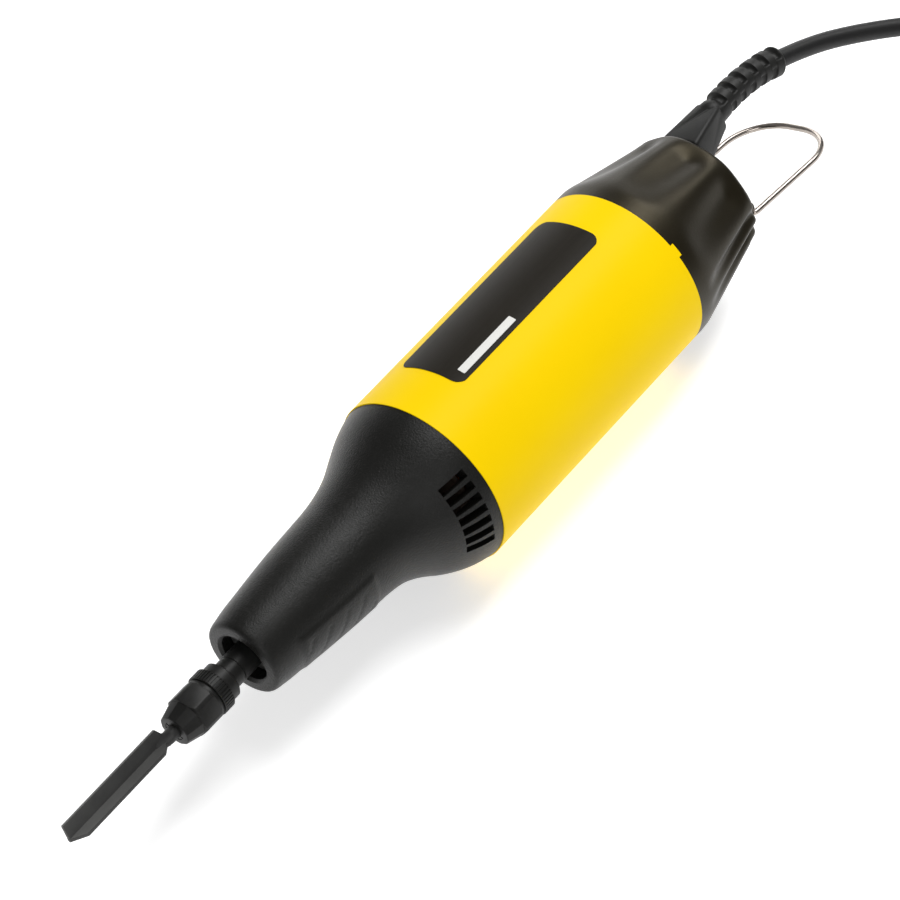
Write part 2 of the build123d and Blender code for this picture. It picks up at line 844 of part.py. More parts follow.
pieces["collet_nut"] = collet_nut()


# Collet
def collet():
    """Slit sleeve with a tapered front that the nut closes on the shank."""
    sleeve = turned([
        (nut_front + seam_gap, 0),
        (nut_front + seam_gap, collet_tip_radius),
        (nut_front + collet_taper_length, collet_radius),
        (nut_front + collet_length, collet_radius),
        (nut_front + collet_length, 0),
    ], spindle_rise)
    sleeve -= rod(nut_front - overrun, nut_front + collet_length + overrun, shank_radius + fit_gap,
                  spindle_rise)
    slit_end = nut_front + collet_length * collet_slit_share
    for index in range(collet_slit_count):
        slit = block(nut_front - overrun, slit_end, -collet_slit_width / 2, collet_slit_width / 2, 0,
                     collet_radius + overrun)
        sleeve -= Pos(0, 0, spindle_rise) * Rot(45 + index * 360 / collet_slit_count, 0, 0) * slit
    return sleeve


pieces["collet"] = collet()


# Gouge
def chisel_blade():
    """Round shank, a short crank and a V-shaped trough that opens upwards and sideways."""
    shank = rod(nut_front - neck_length, nut_front + shank_depth, shank_radius)
    trough_rear = nut_front - neck_length - crank_length
    arm_angle = math.radians(blade_half_angle)
    arm_out = blade_arm * math.sin(arm_angle)
    arm_up = blade_arm * math.cos(arm_angle)
    thick = blade_thickness / math.sin(arm_angle)
    outline = [
        (0, -thick),
        (arm_out + thick / 2, arm_up - thick / 2),
        (arm_out, arm_up),
        (0, 0),
        (-arm_out, arm_up),
        (-arm_out - thick / 2, arm_up - thick / 2),
    ]
    crank_way = math.radians(crank_angle - blade_turn)
    across = crank_offset * math.sin(crank_way)
    middle = Vector(0, across, crank_offset * math.cos(crank_way) - blade_keel_drop)
    trough_plane = Plane(Vector(trough_rear, 0, 0) + middle, x_dir=(0, -1, 0), z_dir=(-1, 0, 0))
    section = make_face(Polyline(*outline, close=True))
    trough = extrude(trough_plane * section, trough_rear - blade_tip)
    neck_plane = Plane((nut_front - neck_length, 0, 0), x_dir=(0, -1, 0), z_dir=(-1, 0, 0))
    filled = make_face(Polyline(*outline[:3], *outline[4:], close=True))
    crank = loft([neck_plane * Circle(shank_radius), trough_plane * filled])
    ramp_rear = Plane(Vector(nut_front - neck_length, 0, arm_up) + middle, x_dir=(0, -1, 0), z_dir=(-1, 0, 0))
    ramp_front = Plane(Vector(trough_rear - overrun, 0, 0) + middle, x_dir=(0, -1, 0), z_dir=(-1, 0, 0))
    notch = make_face(Polyline((0, 0), (arm_out, arm_up), (-arm_out, arm_up), close=True))
    small_notch = make_face(Polyline(
        (0, 0), (crank_notch_share * arm_out, crank_notch_share * arm_up),
        (-crank_notch_share * arm_out, crank_notch_share * arm_up), close=True))
    ramp = loft([ramp_front * notch, ramp_rear * small_notch], ruled=True)
    return Pos(0, 0, spindle_rise) * Rot(blade_turn, 0, 0) * (shank + (crank - ramp) + trough)


pieces["chisel_blade"] = chisel_blade()


# Swash cam
def swash_cam():
    """Short drum whose front face is slanted, on a narrower hub that reaches the bearing."""
    drum_rear = -bearing_plate_setback - cam_gap
    drum = rod(-cam_setback - cam_radius, drum_rear, cam_radius)
    slant = Pos(-cam_setback, 0, 0) * Rot(0, cam_tilt, 0) * Box(
        4 * cam_radius, 4 * cam_radius, 4 * cam_radius, align=(Align.MAX, Align.CENTER, Align.CENTER))
    cam = drum - slant
    cam += rod(-cam_setback + cam_radius / 2, -bearing_plate_setback + seam_gap, cam_hub_radius)
    return cam - rod(-cam_setback + cam_radius / 4, overrun, shaft_radius + fit_gap)


pieces["swash_cam"] = swash_cam()


# Motor shaft, bearings and the plate that holds the front one
bearing_front = -bearing_plate_setback + 5 * seam_gap
bearing_rear = bracket_start + 5 * seam_gap
pieces["motor_shaft"] = rod(-cam_setback + cam_radius / 4, bearing_rear + bearing_width, shaft_radius)


def ball_bearing(start):
    """Ring as wide as a bearing, with a shallow groove on both faces between its two races."""
    ring = tube(start, start + bearing_width, bearing_radius, shaft_radius + running_gap)
    race = (bearing_radius + shaft_radius) / 2
    half_groove = (bearing_radius - shaft_radius) / 8
    for face in (start, start + bearing_width):
        ring -= tube(face - seam_gap, face + seam_gap, race + half_groove, race - half_groove)
    return ring


pieces["front_bearing"] = ball_bearing(bearing_front)
pieces["rear_bearing"] = ball_bearing(bearing_rear)


def bearing_plate():
    """Round plate in the nose with a pocket for the front bearing."""
    plate = rod(-bearing_plate_setback, -bearing_plate_setback + bearing_plate_length, bearing_plate_radius)
    plate -= rod(bearing_front, overrun, bearing_radius + fit_gap)
    return plate - rod(-bearing_plate_setback - overrun, overrun, (cam_hub_radius + bearing_radius) / 2)


pieces["bearing_plate"] = bearing_plate()


# Cooling fan
def cooling_fan():
    """Hub with a disc and radial blades that throw air out through the vents."""
    fan = rod(-fan_setback, -fan_setback + fan_length, fan_hub_radius)
    disc_front = -fan_setback + fan_length - fan_disc_thickness
    fan += rod(disc_front, -fan_setback + fan_length, fan_radius)
    for index in range(fan_blade_count):
        blade = block(-fan_setback, disc_front + fan_disc_thickness / 2, -fan_blade_thickness / 2,
                      fan_blade_thickness / 2, fan_hub_radius / 2, fan_radius - fan_blade_thickness)
        fan += Rot(index * 360 / fan_blade_count, 0, 0) * blade
    return fan - rod(-fan_setback - overrun, overrun, shaft_radius + fit_gap)


pieces["cooling_fan"] = cooling_fan()


# Armature
armature_slot_offset = armature_radius - armature_slot_depth


def armature_core():
    """Laminated drum with round slots that open at its surface."""
    core = rod(core_start, core_end, armature_radius)
    for index in range(armature_slot_count):
        at = Rot(index * 360 / armature_slot_count, 0, 0)
        core -= at * rod(core_start - overrun, core_end + overrun, armature_slot_radius, armature_slot_offset)
        core -= at * block(core_start - overrun, core_end + overrun, -armature_slot_radius / 3,
                           armature_slot_radius / 3, armature_slot_offset, armature_radius + overrun)
    return core - rod(core_start - overrun, core_end + overrun, shaft_radius + fit_gap)


def armature_winding():
    """Copper in the slots, joined by a ring at each end of the drum."""
    inner = shaft_radius + fan_disc_thickness
    front = tube(core_start - winding_overhang, core_start - running_gap, winding_radius, inner)
    front = fillet(front.edges().filter_by(GeomType.CIRCLE).group_by(Axis.X)[0].sort_by(SortBy.RADIUS)[-1],
                   winding_overhang / 2)
    rear = tube(core_end + running_gap, core_end + winding_overhang, winding_radius, inner)
    rear = fillet(rear.edges().filter_by(GeomType.CIRCLE).group_by(Axis.X)[-1].sort_by(SortBy.RADIUS)[-1],
                  winding_overhang / 2)
    winding = front + rear
    for index in range(armature_slot_count):
        bar = rod(core_start - winding_overhang / 4, core_end + winding_overhang / 4,
                  armature_slot_radius - seam_gap, armature_slot_offset)
        winding += Rot(index * 360 / armature_slot_count, 0, 0) * bar
    return winding


pieces["armature_core"] = armature_core()
pieces["armature_winding"] = armature_winding()


# Commutator
def commutator():
    """Copper drum cut into bars."""
    commutator_end = commutator_start + commutator_length
    drum = tube(commutator_start, commutator_end, commutator_radius, shaft_radius + fit_gap)
    for index in range(commutator_bar_count):
        slit = block(commutator_start - overrun, commutator_end + overrun, -commutator_slit_width / 2,
                     commutator_slit_width / 2, commutator_radius - commutator_slit_depth,
                     commutator_radius + overrun)
        drum -= Rot(index * 360 / commutator_bar_count, 0, 0) * slit
    return drum


pieces["commutator"] = commutator()


# Stator and field coils
def stator_core():
    """Ring with two flats for the long screws and two pole shoes beside the armature."""
    radius = barrel_inner - stator_gap
    ring = tube(core_start, core_end, radius, stator_ring_radius)
    for side in (-1, 1):
        ring += sector(core_start, core_end, pole_radius, stator_ring_radius + barrel_wall / 2, side * 90,
                       pole_half_angle)
    return ring & block(core_start, core_end, -radius, radius, -stator_flat, stator_flat)


def field_coil(side):
    """Saddle of copper wire round one pole shoe."""
    outer = stator_ring_radius - coil_gap
    inner = pole_radius + coil_gap
    coil = sector(core_start - coil_overhang, core_end + coil_overhang, inner, outer, side * 90,
                  coil_half_angle)
    window_half_angle = pole_half_angle + math.degrees(coil_gap / pole_radius)
    return coil - sector(core_start - coil_gap, core_end + coil_gap, inner - overrun, outer + overrun,
                         side * 90, window_half_angle)


pieces["stator_core"] = stator_core()
for number, side in ((1, -1), (2, 1)):
    pieces[f"field_coil_{number}"] = field_coil(side)


# Brush holders, brushes and their springs
holder_start = commutator_start + (commutator_length - holder_length) / 2
holder_end = holder_start + holder_length


def brush_holder():
    """Brass box round the brush, closed at its outer end, with a foot on the rear bracket."""
    half = holder_height / 2
    holder = block(holder_start, holder_end, holder_inner, holder_outer, -half, half)
    holder -= block(holder_start + holder_wall, holder_end - holder_wall, 0, holder_outer - holder_wall,
                    -half + holder_wall, half - holder_wall)
    middle = (holder_inner + holder_outer) / 2
    foot_half = holder_foot_height / 2
    return holder + block(holder_end - holder_wall, bracket_start, middle - foot_half, middle + foot_half,
                          -foot_half, foot_half)


def carbon_brush():
    """Carbon block whose inner end follows the commutator."""
    half = holder_height / 2 - holder_wall - brush_gap
    start = holder_start + holder_wall + brush_gap
    end = holder_end - holder_wall - brush_gap
    brush = block(start, end, commutator_radius / 2, commutator_radius + brush_length, -half, half)
    return brush - rod(start - overrun, end + overrun, commutator_radius + brush_air)


def brush_spring():
    """Coil spring between the brush and the end of its holder."""
    start = commutator_radius + brush_length + brush_wire_radius + running_gap
    end = holder_outer - holder_wall - brush_wire_radius - running_gap
    advance = (end - start) / brush_coil_turns
    middle = (holder_start + holder_end) / 2

    def place(turn):
        angle = 2 * math.pi * turn
        point = Vector(middle + brush_coil_radius * math.cos(angle), start + advance * turn,
                       brush_coil_radius * math.sin(angle))
        way = Vector(-brush_coil_radius * math.sin(angle), advance / (2 * math.pi),
                     brush_coil_radius * math.cos(angle))
        return point, way.normalized()

    spring, path = wound(place, brush_coil_turns, brush_wire_radius)
    least_gap("brush_spring", path, brush_wire_radius, 2 * math.pi * brush_coil_radius / 2)
    return spring


for number, turn in ((1, 0), (2, 180)):
    pieces[f"brush_holder_{number}"] = Rot(turn, 0, 0) * brush_holder()
    pieces[f"carbon_brush_{number}"] = Rot(turn, 0, 0) * carbon_brush()
    pieces[f"brush_spring_{number}"] = Rot(turn, 0, 0) * brush_spring()


# Rear bracket with its posts
def rear_bracket():
    """Disc that holds the rear bearing, with two posts that take the cap's screws."""
    bracket = rod(bracket_start, bracket_end, barrel_inner - bracket_gap)
    for side in (-1, 1):
        bracket += rod(bracket_end - overrun, bracket_end + post_length, post_radius, 0, side * post_spread)
        bracket -= rod(bracket_end + post_length - cap_screw_bite, bracket_end + post_length + overrun,
                       screw_radius + fit_gap, 0, side * post_spread)
        bracket -= rod(bracket_start - overrun, bracket_end + overrun, screw_radius + fit_gap,
                       side * motor_screw_offset)
        bracket -= rod(bracket_start - overrun, bracket_end + overrun, lead_radius + lead_hole_gap, lead_rise,
                       side * lead_spread)
    bracket -= rod(bracket_start - overrun, bearing_rear + bearing_width, bearing_radius + fit_gap)
    return bracket - rod(bracket_start, bracket_end + overrun, (shaft_radius + bearing_radius) / 2)


pieces["rear_bracket"] = rear_bracket()


# Screws
def screw(tip, seat, across, rise, sunk):
    """Long screw along X with its head at the rear, sunk by some depth or not."""
    head_end = seat + screw_head_length - sunk
    shape = rod(tip, seat + screw_head_length / 4, screw_radius, rise, across)
    shape += rod(seat, head_end, screw_head_radius, rise, across)
    slot = block(head_end - screw_head_length / 3, head_end + overrun, across - screw_head_radius,
                 across + screw_head_radius, rise - screw_head_length / 8, rise + screw_head_length / 8)
    return shape - slot


for number, side in ((1, -1), (2, 1)):
    motor_tip = boss_length - motor_screw_bite + seam_gap
    pieces[f"motor_screw_{number}"] = screw(motor_tip, bracket_end, 0, side * motor_screw_offset, 0)
    cap_tip = bracket_end + post_length - cap_screw_bite + seam_gap
    cap_seat = cap_rear - screw_head_length
    pieces[f"cap_screw_{number}"] = screw(cap_tip, cap_seat, side * post_spread, 0, seam_gap)


# Switch
def switch_body():
    """Sealed box behind the bracket, under the slider."""
    outer = barrel_inner - foot_inset - foot_thickness - switch_foot_gap
    half = switch_height / 2
    return block(bracket_end, bracket_end + switch_length, switch_inner, outer, -half, half)


def switch_slider():
    """Ridged thumb piece that follows the barrel, its neck through the slot and its foot inside."""
    neck_middle = slider_start + slider_length / 2
    knob_outer = barrel_radius + knob_rise
    knob = tube(neck_middle - knob_length / 2, neck_middle + knob_length / 2, knob_outer,
                barrel_radius + knob_gap)
    knob &= block(neck_middle - knob_length, neck_middle + knob_length, 0, barrel_radius + overrun,
                  -knob_height / 2, knob_height / 2)
    for index in range(knob_ridge_count):
        at = neck_middle + (index - (knob_ridge_count - 1) / 2) * knob_ridge_pitch
        knob -= block(at - knob_ridge_width / 2, at + knob_ridge_width / 2, knob_outer - knob_ridge_depth,
                      knob_outer + overrun, -knob_height, knob_height)
    foot_outer = barrel_inner - foot_inset
    half = slider_neck_height / 2
    neck = block(slider_start, slider_start + slider_length, foot_outer - foot_thickness,
                 barrel_radius + knob_gap + knob_rise / 2, -half, half)
    foot = block(neck_middle - foot_length / 2, neck_middle + foot_length / 2, foot_outer - foot_thickness,
                 foot_outer, -foot_height / 2, foot_height / 2)
    return knob + neck + foot


pieces["switch_body"] = switch_body()
pieces["switch_slider"] = switch_slider()


# Terminal block, capacitor and leads
block_end = block_start + block_length
pieces["terminal_block"] = block(block_start, block_end, -block_width / 2, block_width / 2,
                                 post_radius + rest_gap, block_top)
pieces["capacitor"] = block(block_start, block_start + capacitor_length, -block_width / 2, block_width / 2,
                            -post_radius - rest_gap - capacitor_depth, -post_radius - rest_gap)
for number, side in ((1, -1), (2, 1)):
    lead_stop = (holder_start + holder_end) / 2
    lead_path = Wire(FilletPolyline(
        (block_start, side * lead_spread, lead_rise),
        (lead_stop, side * lead_spread, lead_rise),
        (lead_stop, side * lead_spread, holder_height / 2),
        radius=lead_bend,
    ).edges())
    lead_section = Plane(lead_path @ 0, z_dir=lead_path % 0) * Circle(lead_radius)
    pieces[f"lead_wire_{number}"] = sweep(lead_section, lead_path)


# Cord inside the cap and its clamp
pieces["inner_cord"] = rod(block_end, boot_inner_face, cord_radius - fit_gap, boot_rise)


def cord_clamp():
    """Bar under the cord, drawn up by two screws."""
    bar = block(clamp_start, clamp_start + clamp_length, -clamp_width / 2, clamp_width / 2,
                clamp_face - clamp_thickness, clamp_face)
    for side in (-1, 1):
        bar -= Pos(clamp_middle, side * clamp_screw_spread, clamp_face) * Cylinder(
            clamp_screw_radius + fit_gap, 4 * clamp_thickness)
    return bar


def clamp_screw(side):
    """Short screw from below."""
    seat = clamp_face - clamp_thickness
    at = Pos(clamp_middle, side * clamp_screw_spread, seat)
    shank = at * Pos(0, 0, -clamp_screw_head_length / 4) * Cylinder(
        clamp_screw_radius, clamp_thickness + clamp_screw_bite - seam_gap,
        align=(Align.CENTER, Align.CENTER, Align.MIN))
    head = at * Cylinder(clamp_screw_head_radius, clamp_screw_head_length,
                         align=(Align.CENTER, Align.CENTER, Align.MAX))
    return shank + head


pieces["cord_clamp"] = cord_clamp()
for number, side in ((1, -1), (2, 1)):
    pieces[f"clamp_screw_{number}"] = clamp_screw(side)


# Label and its pale strip
def curved_sheet(start, length, width, corner, angle, inner, thickness):
    """Thin sheet with rounded corners on the barrel, centred at an angle from +Z towards -Y."""
    outline = Plane((start + length / 2, 0, 0)) * RectangleRounded(length, width, corner)
    window = extrude(outline, barrel_radius + overrun)
    shell = tube(start - overrun, start + length + overrun, inner + thickness, inner)
    return Rot(angle, 0, 0) * (window & shell)


label_inner = barrel_radius + label_gap
strip_inner = label_inner + label_thickness + label_gap
pieces["rating_label"] = curved_sheet(label_start, label_length, label_width, label_corner, label_angle,
                                      label_inner, label_thickness)
pieces["label_strip"] = curved_sheet(strip_start, strip_length, strip_width, strip_width / 8, strip_angle,
                                     strip_inner, strip_thickness)


# Hanging bail
def hang_bail():
    """Wire loop with its two ends bent inwards through the ears, swung down a little."""
    pin_end = ear_outer - ear_thickness - bail_pin_overhang
    far = bail_pivot + bail_length
    points = [
        (bail_pivot, pin_end, -bail_pivot_drop),
        (bail_pivot, bail_half_width, -bail_pivot_drop),
        (far, bail_half_width, -bail_pivot_drop),
        (far, -bail_half_width, -bail_pivot_drop),
        (bail_pivot, -bail_half_width, -bail_pivot_drop),
        (bail_pivot, -pin_end, -bail_pivot_drop),
    ]
    radii = [bail_pin_bend, bail_corner_radius, bail_corner_radius, bail_pin_bend]
    path = Wire(FilletPolyline(*points, radius=radii).edges())
    wire = sweep(Plane(path @ 0, z_dir=path % 0) * Circle(bail_wire_radius), path)
    pivot = Pos(bail_pivot, 0, -bail_pivot_drop)
    return pivot * Rot(0, bail_swing, 0) * pivot.inverse() * wire


pieces["hang_bail"] = hang_bail()

# The tool's pieces are laid down here, and what follows is drawn where it lies
pieces = {name: laid(shape) for name, shape in pieces.items()}


# Strain relief
def strain_relief():
    """Tapered base, a spigot through the cap's wall and a ribbed neck that bends with the cord."""
    roll = math.radians(roll_angle)
    seat = Vector(cap_rear, boot_rise * math.sin(roll), barrel_radius + boot_rise * math.cos(roll))
    lean = math.radians(boot_lean)
    way = Vector(math.cos(lean), math.sin(lean), 0)
    neck = seat + Vector(*boot_neck_step)
    tip = seat + Vector(*boot_end_step)
    up = Vector(0, math.sin(roll), math.cos(roll))
    across = Vector(0, math.cos(roll), -math.sin(roll))
    base = loft([
        Plane(seat, x_dir=across, z_dir=(1, 0, 0)) * RectangleRounded(
            boot_base_width, boot_base_height, boot_base_corner),
        Plane(neck, x_dir=across - way * across.dot(way), z_dir=way) * RectangleRounded(
            boot_neck_size, boot_neck_size, boot_neck_corner),
    ])
    arc = TangentArc(neck, tip, tangent=way)
    ribbed = sweep(Plane(neck, z_dir=way) * Circle(boot_neck_size / 2), arc)
    ribbed = fillet(ribbed.faces().sort_by_distance(tip)[0].edges(), boot_end_rounding)
    groove = Cylinder(boot_neck_size, boot_slot_width) - Cylinder(boot_core_radius, boot_slot_width + overrun)
    half_space = block(boot_slot_edge, 2 * boot_neck_size, -boot_neck_size, boot_neck_size, -boot_slot_width,
                       boot_slot_width)
    cut = groove & half_space
    slot_angle = math.radians(boot_slot_angle)
    slot_way = across * math.sin(slot_angle) + up * math.cos(slot_angle)
    for index in range(2 * boot_rib_count - 1):
        share = (index + 1) / (2 * boot_rib_count)
        point = arc @ share
        heading = arc % share
        side = slot_way if index % 2 == 0 else slot_way * -1
        plane = Plane(point, x_dir=side - heading * side.dot(heading), z_dir=heading)
        ribbed -= plane * cut
    spigot = rod(boot_inner_face, cap_rear + overrun, boot_hole_radius, boot_rise)
    spigot += rod(boot_inner_face, boot_inner_face + boot_flange_length, boot_flange_radius, boot_rise)
    spigot = Pos(0, 0, barrel_radius) * Rot(-roll_angle, 0, 0) * spigot
    print("strain_relief end direction", tuple(round(v, 3) for v in (arc % 1)))
    return base + ribbed + spigot, tip, arc % 1


boot, boot_end, boot_way = strain_relief()
pieces["strain_relief"] = along_floor(boot)


# Coil of four layers from the top down: inwards, outwards, inwards, outwards, each half a turn below the last
coil_changes = len(coil_layer_turns) - 1
coil_turns = sum(coil_layer_turns) + coil_changes * coil_drop_turns
coil_lead = 2 * cord_radius


def coil_place(turn):
    """Point and direction on the coil, which starts at the outside of its top layer."""
    angle = 2 * math.pi * turn - math.pi / 2
    slope = coil_pitch / (2 * math.pi)
    radius = coil_inner_radius + coil_pitch * coil_layer_turns[0]
    growth = -slope
    layers_down = 0
    sink = 0
    left = turn
    for index, layer_turns in enumerate(coil_layer_turns):
        outward = -1 if index % 2 == 0 else 1
        radius += outward * coil_pitch * min(left, layer_turns)
        growth = outward * slope
        left -= layer_turns
        if left <= 0 or index == coil_changes:
            break
        part = min(left / coil_drop_turns, 1)
        radius += outward * coil_pitch * coil_drop_turns * (part - part * part)
        growth = outward * slope * (1 - 2 * part)
        layers_down = index + part * part * (3 - 2 * part)
        sink = coil_layer_rise * 6 * part * (1 - part) / (2 * math.pi * coil_drop_turns)
        left -= coil_drop_turns
        if left <= 0:
            break
        sink = 0
    height = cord_radius + coil_layer_rise * (coil_changes - layers_down)
    across = Vector(math.cos(angle), math.sin(angle), 0)
    along = Vector(-math.sin(angle), math.cos(angle), 0)
    point = Vector(boot_end.X, boot_end.Y) + Vector(*coil_step) + across * radius + Vector(0, 0, height)
    return point, (across * growth + along * radius - Vector(0, 0, sink)).normalized()


coil, coil_path = wound(coil_place, coil_turns, cord_radius, coil_lead)
least_gap("cord_coil", coil_path, cord_radius, coil_inner_radius * math.pi)
print("cord_coil volume share", round(coil.volume / (math.pi * cord_radius**2 * coil_path.length), 4))
pieces["cord_coil"] = along_floor(coil)


def past_boot(step):
    """Point of a route, drawn along and across from the strain relief's end and up from the surface."""
    return Vector(boot_end.X + step[0], boot_end.Y + step[1], step[2])


# Cord from the strain relief to its coil, and from the coil to the plug
coil_start = coil_path @ 0
coil_start_way = coil_path % 0
coil_end = coil_path @ 1
coil_end_way = coil_path % 1
cord_points = [boot_end, boot_end + boot_way * cord_first_run]
cord_points += [past_boot(step) for step in cord_route]
cord_points += [coil_start - coil_start_way * cord_last_run, coil_start]
tail_points = [coil_end, coil_end + coil_end_way * tail_first_run]
tail_points += [past_boot(step) for step in tail_route]
pieces["mains_cord"] = along_floor(corded("mains_cord", cord_points, cord_radius))
pieces["cord_tail"] = along_floor(corded("cord_tail", tail_points, cord_radius))


# Plug, lying flat
def plug_body():
    """Flat two-pin plug that tapers to a grooved sleeve round the cord."""
    front = extrude(Plane((0, 0, 0), x_dir=(0, 1, 0), z_dir=(-1, 0, 0)) * RectangleRounded(
        plug_width, plug_height, plug_corner), plug_front_length)
    sleeve_front = -plug_front_length - plug_taper_length
    taper = loft([
        Plane((-plug_front_length, 0, 0), x_dir=(0, 1, 0), z_dir=(-1, 0, 0)) * RectangleRounded(
            plug_width, plug_height, plug_corner),
        Plane((sleeve_front, 0, 0), x_dir=(0, 1, 0), z_dir=(-1, 0, 0)) * RectangleRounded(
            plug_neck_width, plug_neck_height, plug_neck_corner),
    ])
    sleeve = rod(sleeve_front - plug_sleeve_length, sleeve_front, plug_sleeve_radius)
    pitch = plug_sleeve_length / (plug_sleeve_grooves + 1)
    for index in range(plug_sleeve_grooves):
        at = sleeve_front - pitch * (index + 1)
        sleeve -= tube(at - plug_groove_width / 2, at + plug_groove_width / 2, plug_sleeve_radius + overrun,
                       plug_sleeve_radius - plug_sleeve_groove)
    body = front + taper + sleeve
    for side in (-1, 1):
        body -= rod(-plug_pin_root, overrun, plug_pin_root_radius + fit_gap, 0, side * plug_pin_spacing / 2)
    return body


plug_length = plug_front_length + plug_taper_length + plug_sleeve_length
tail_way = tail_points[-1] - tail_points[-2]
plug_yaw = math.degrees(math.atan2(tail_way.Y, tail_way.X))
plug_at = Pos(tail_points[-1]) * Rot(0, 0, plug_yaw) * Pos(plug_length, 0, 0)
pieces["plug_body"] = along_floor(plug_at * plug_body())
for number, side in ((1, -1), (2, 1)):
    across = side * plug_pin_spacing / 2
    pin = rod(plug_pin_neck, plug_pin_length, plug_pin_radius, 0, across)
    tip_edge = pin.edges().filter_by(GeomType.CIRCLE).sort_by(Axis.X)[-1]
    pin = fillet(tip_edge, plug_pin_radius / 2)
    pin += rod(-plug_pin_root, 2 * plug_pin_neck, plug_pin_root_radius, 0, across)
    pieces[f"plug_pin_{number}"] = along_floor(plug_at * pin)

# Write one file for each piece
os.makedirs("parts", exist_ok=True)
for name, shape in pieces.items():
    export_step(shape, f"parts/{name}.step")
print("origin_x", round(origin_x, 3), "pieces", len(pieces))
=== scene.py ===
import math

import bpy
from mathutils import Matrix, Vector


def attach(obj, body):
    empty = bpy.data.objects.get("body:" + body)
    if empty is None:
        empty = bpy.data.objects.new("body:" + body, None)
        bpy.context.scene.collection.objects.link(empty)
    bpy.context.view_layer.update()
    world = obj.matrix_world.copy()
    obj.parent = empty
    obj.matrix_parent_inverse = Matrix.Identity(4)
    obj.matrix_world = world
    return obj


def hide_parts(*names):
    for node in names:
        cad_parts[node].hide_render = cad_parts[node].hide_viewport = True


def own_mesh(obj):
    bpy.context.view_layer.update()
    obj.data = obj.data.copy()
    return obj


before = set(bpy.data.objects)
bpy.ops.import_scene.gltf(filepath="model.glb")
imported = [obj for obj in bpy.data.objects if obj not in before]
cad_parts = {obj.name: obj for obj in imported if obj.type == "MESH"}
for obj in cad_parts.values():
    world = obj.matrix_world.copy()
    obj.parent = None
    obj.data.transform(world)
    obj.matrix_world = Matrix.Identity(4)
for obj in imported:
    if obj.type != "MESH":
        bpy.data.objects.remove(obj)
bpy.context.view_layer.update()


look_down = math.radians(52.81)
look_round = math.radians(-52.91)
camera_data = bpy.data.cameras.new("studio_camera")
camera_data.sensor_width = 36.0
camera_data.lens = 165.4
camera_data.clip_start = 0.01
camera_data.clip_end = 20.0
camera = bpy.data.objects.new("studio_camera", camera_data)
camera.location = (-0.5361, -0.4026, 0.9085)
camera.rotation_euler = (math.radians(90) - look_down, 0, look_round)
bpy.context.scene.collection.objects.link(camera)
bpy.context.scene.camera = camera


def hang_light(name, toward, distance, level_side, rising_side, power):
    """A soft box in that direction from the tool's middle, facing it."""
    data = bpy.data.lights.new(name, "AREA")
    data.shape = "RECTANGLE"
    data.size = level_side
    data.size_y = rising_side
    data.energy = power
    lamp = bpy.data.objects.new(name, data)
    way = Vector(toward).normalized()
    lamp.location = way * distance
    lamp.rotation_euler = way.to_track_quat("Z", "Y").to_euler()
    bpy.context.scene.collection.objects.link(lamp)


hang_light("overhead_box", (0.47, 0.08, 0.87), 1.1, 0.42, 1.2, 11.5)
hang_light("near_box", (-0.62, -0.62, 0.70), 1.4, 0.7, 0.7, 4.6)
hang_light("far_box", (0.74, 0.67, 0.16), 1.0, 0.7, 0.14, 1.1)

world = bpy.data.worlds.new("white_room")
world.use_nodes = True
walls = world.node_tree.nodes["Background"].inputs
walls["Color"].default_value = (1.0, 1.0, 1.0, 1.0)
walls["Strength"].default_value = 0.24
bpy.context.scene.world = world
bpy.context.scene.view_settings.view_transform = "Standard"


class Layer:
    """One output of the nodes of a finish. Sums and products of it add the Math nodes that work them out."""

    def __init__(self, tree, socket=None):
        self.tree = tree
        self.socket = socket

    def node(self, kind, settings=None, sockets=None, output=0):
        """Adds a node of that kind. Its settings come first, then the values or layers of its sockets."""
        made = self.tree.nodes.new(kind)
        for name, value in (settings or {}).items():
            setattr(made, name, value)
        for name, value in (sockets or {}).items():
            if isinstance(value, Layer):
                self.tree.links.new(value.socket, made.inputs[name])
            else:
                made.inputs[name].default_value = value
        return Layer(self.tree, made.outputs[output] if made.outputs else None)

    def maths(self, operation, first, second):
        """Adds a Math node that works out that operation on two numbers or layers."""
        return self.node("ShaderNodeMath", {"operation": operation}, {0: first, 1: second})

    def __add__(self, other):
        return self.maths("ADD", self, other)

    def __radd__(self, other):
        return self.maths("ADD", other, self)

    def __sub__(self, other):
        return self.maths("SUBTRACT", self, other)

    def __rsub__(self, other):
        return self.maths("SUBTRACT", other, self)

    def __mul__(self, other):
        return self.maths("MULTIPLY", self, other)

    def __rmul__(self, other):
        return self.maths("MULTIPLY", other, self)


def begin_finish(name):
    """A finish with no nodes but the place on the piece, in metres, which every pattern reads."""
    material = bpy.data.materials.new(name)
    material.use_nodes = True
    material.node_tree.nodes.clear()
    return material, Layer(material.node_tree).node("ShaderNodeTexCoord", output="Object")


def end_finish(material, place, sockets):
    """The shader of a finish, from the values and layers of its sockets."""
    shader = place.node("ShaderNodeBsdfPrincipled", sockets=sockets)
    place.node("ShaderNodeOutputMaterial", sockets={"Surface": shader})
    return material


def specks(place, size, detail=2.0):
    """Soft irregular specks of about that size, in metres, from 0 to 1."""
    return place.node("ShaderNodeTexNoise", sockets={"Vector": place, "Scale": 1 / size, "Detail": detail})


def blend_colours(place, share, first, second):
    """One colour where the share is 0 and the other where it is 1."""
    return place.node("ShaderNodeMix", {"data_type": "RGBA"}, {0: share, 6: first, 7: second}, output=2)


def relief(place, height, depth, strength=1.0):
    """Small dents and bumps of that depth, in metres."""
    return place.node("ShaderNodeBump", sockets={"Height": height, "Distance": depth, "Strength": strength})


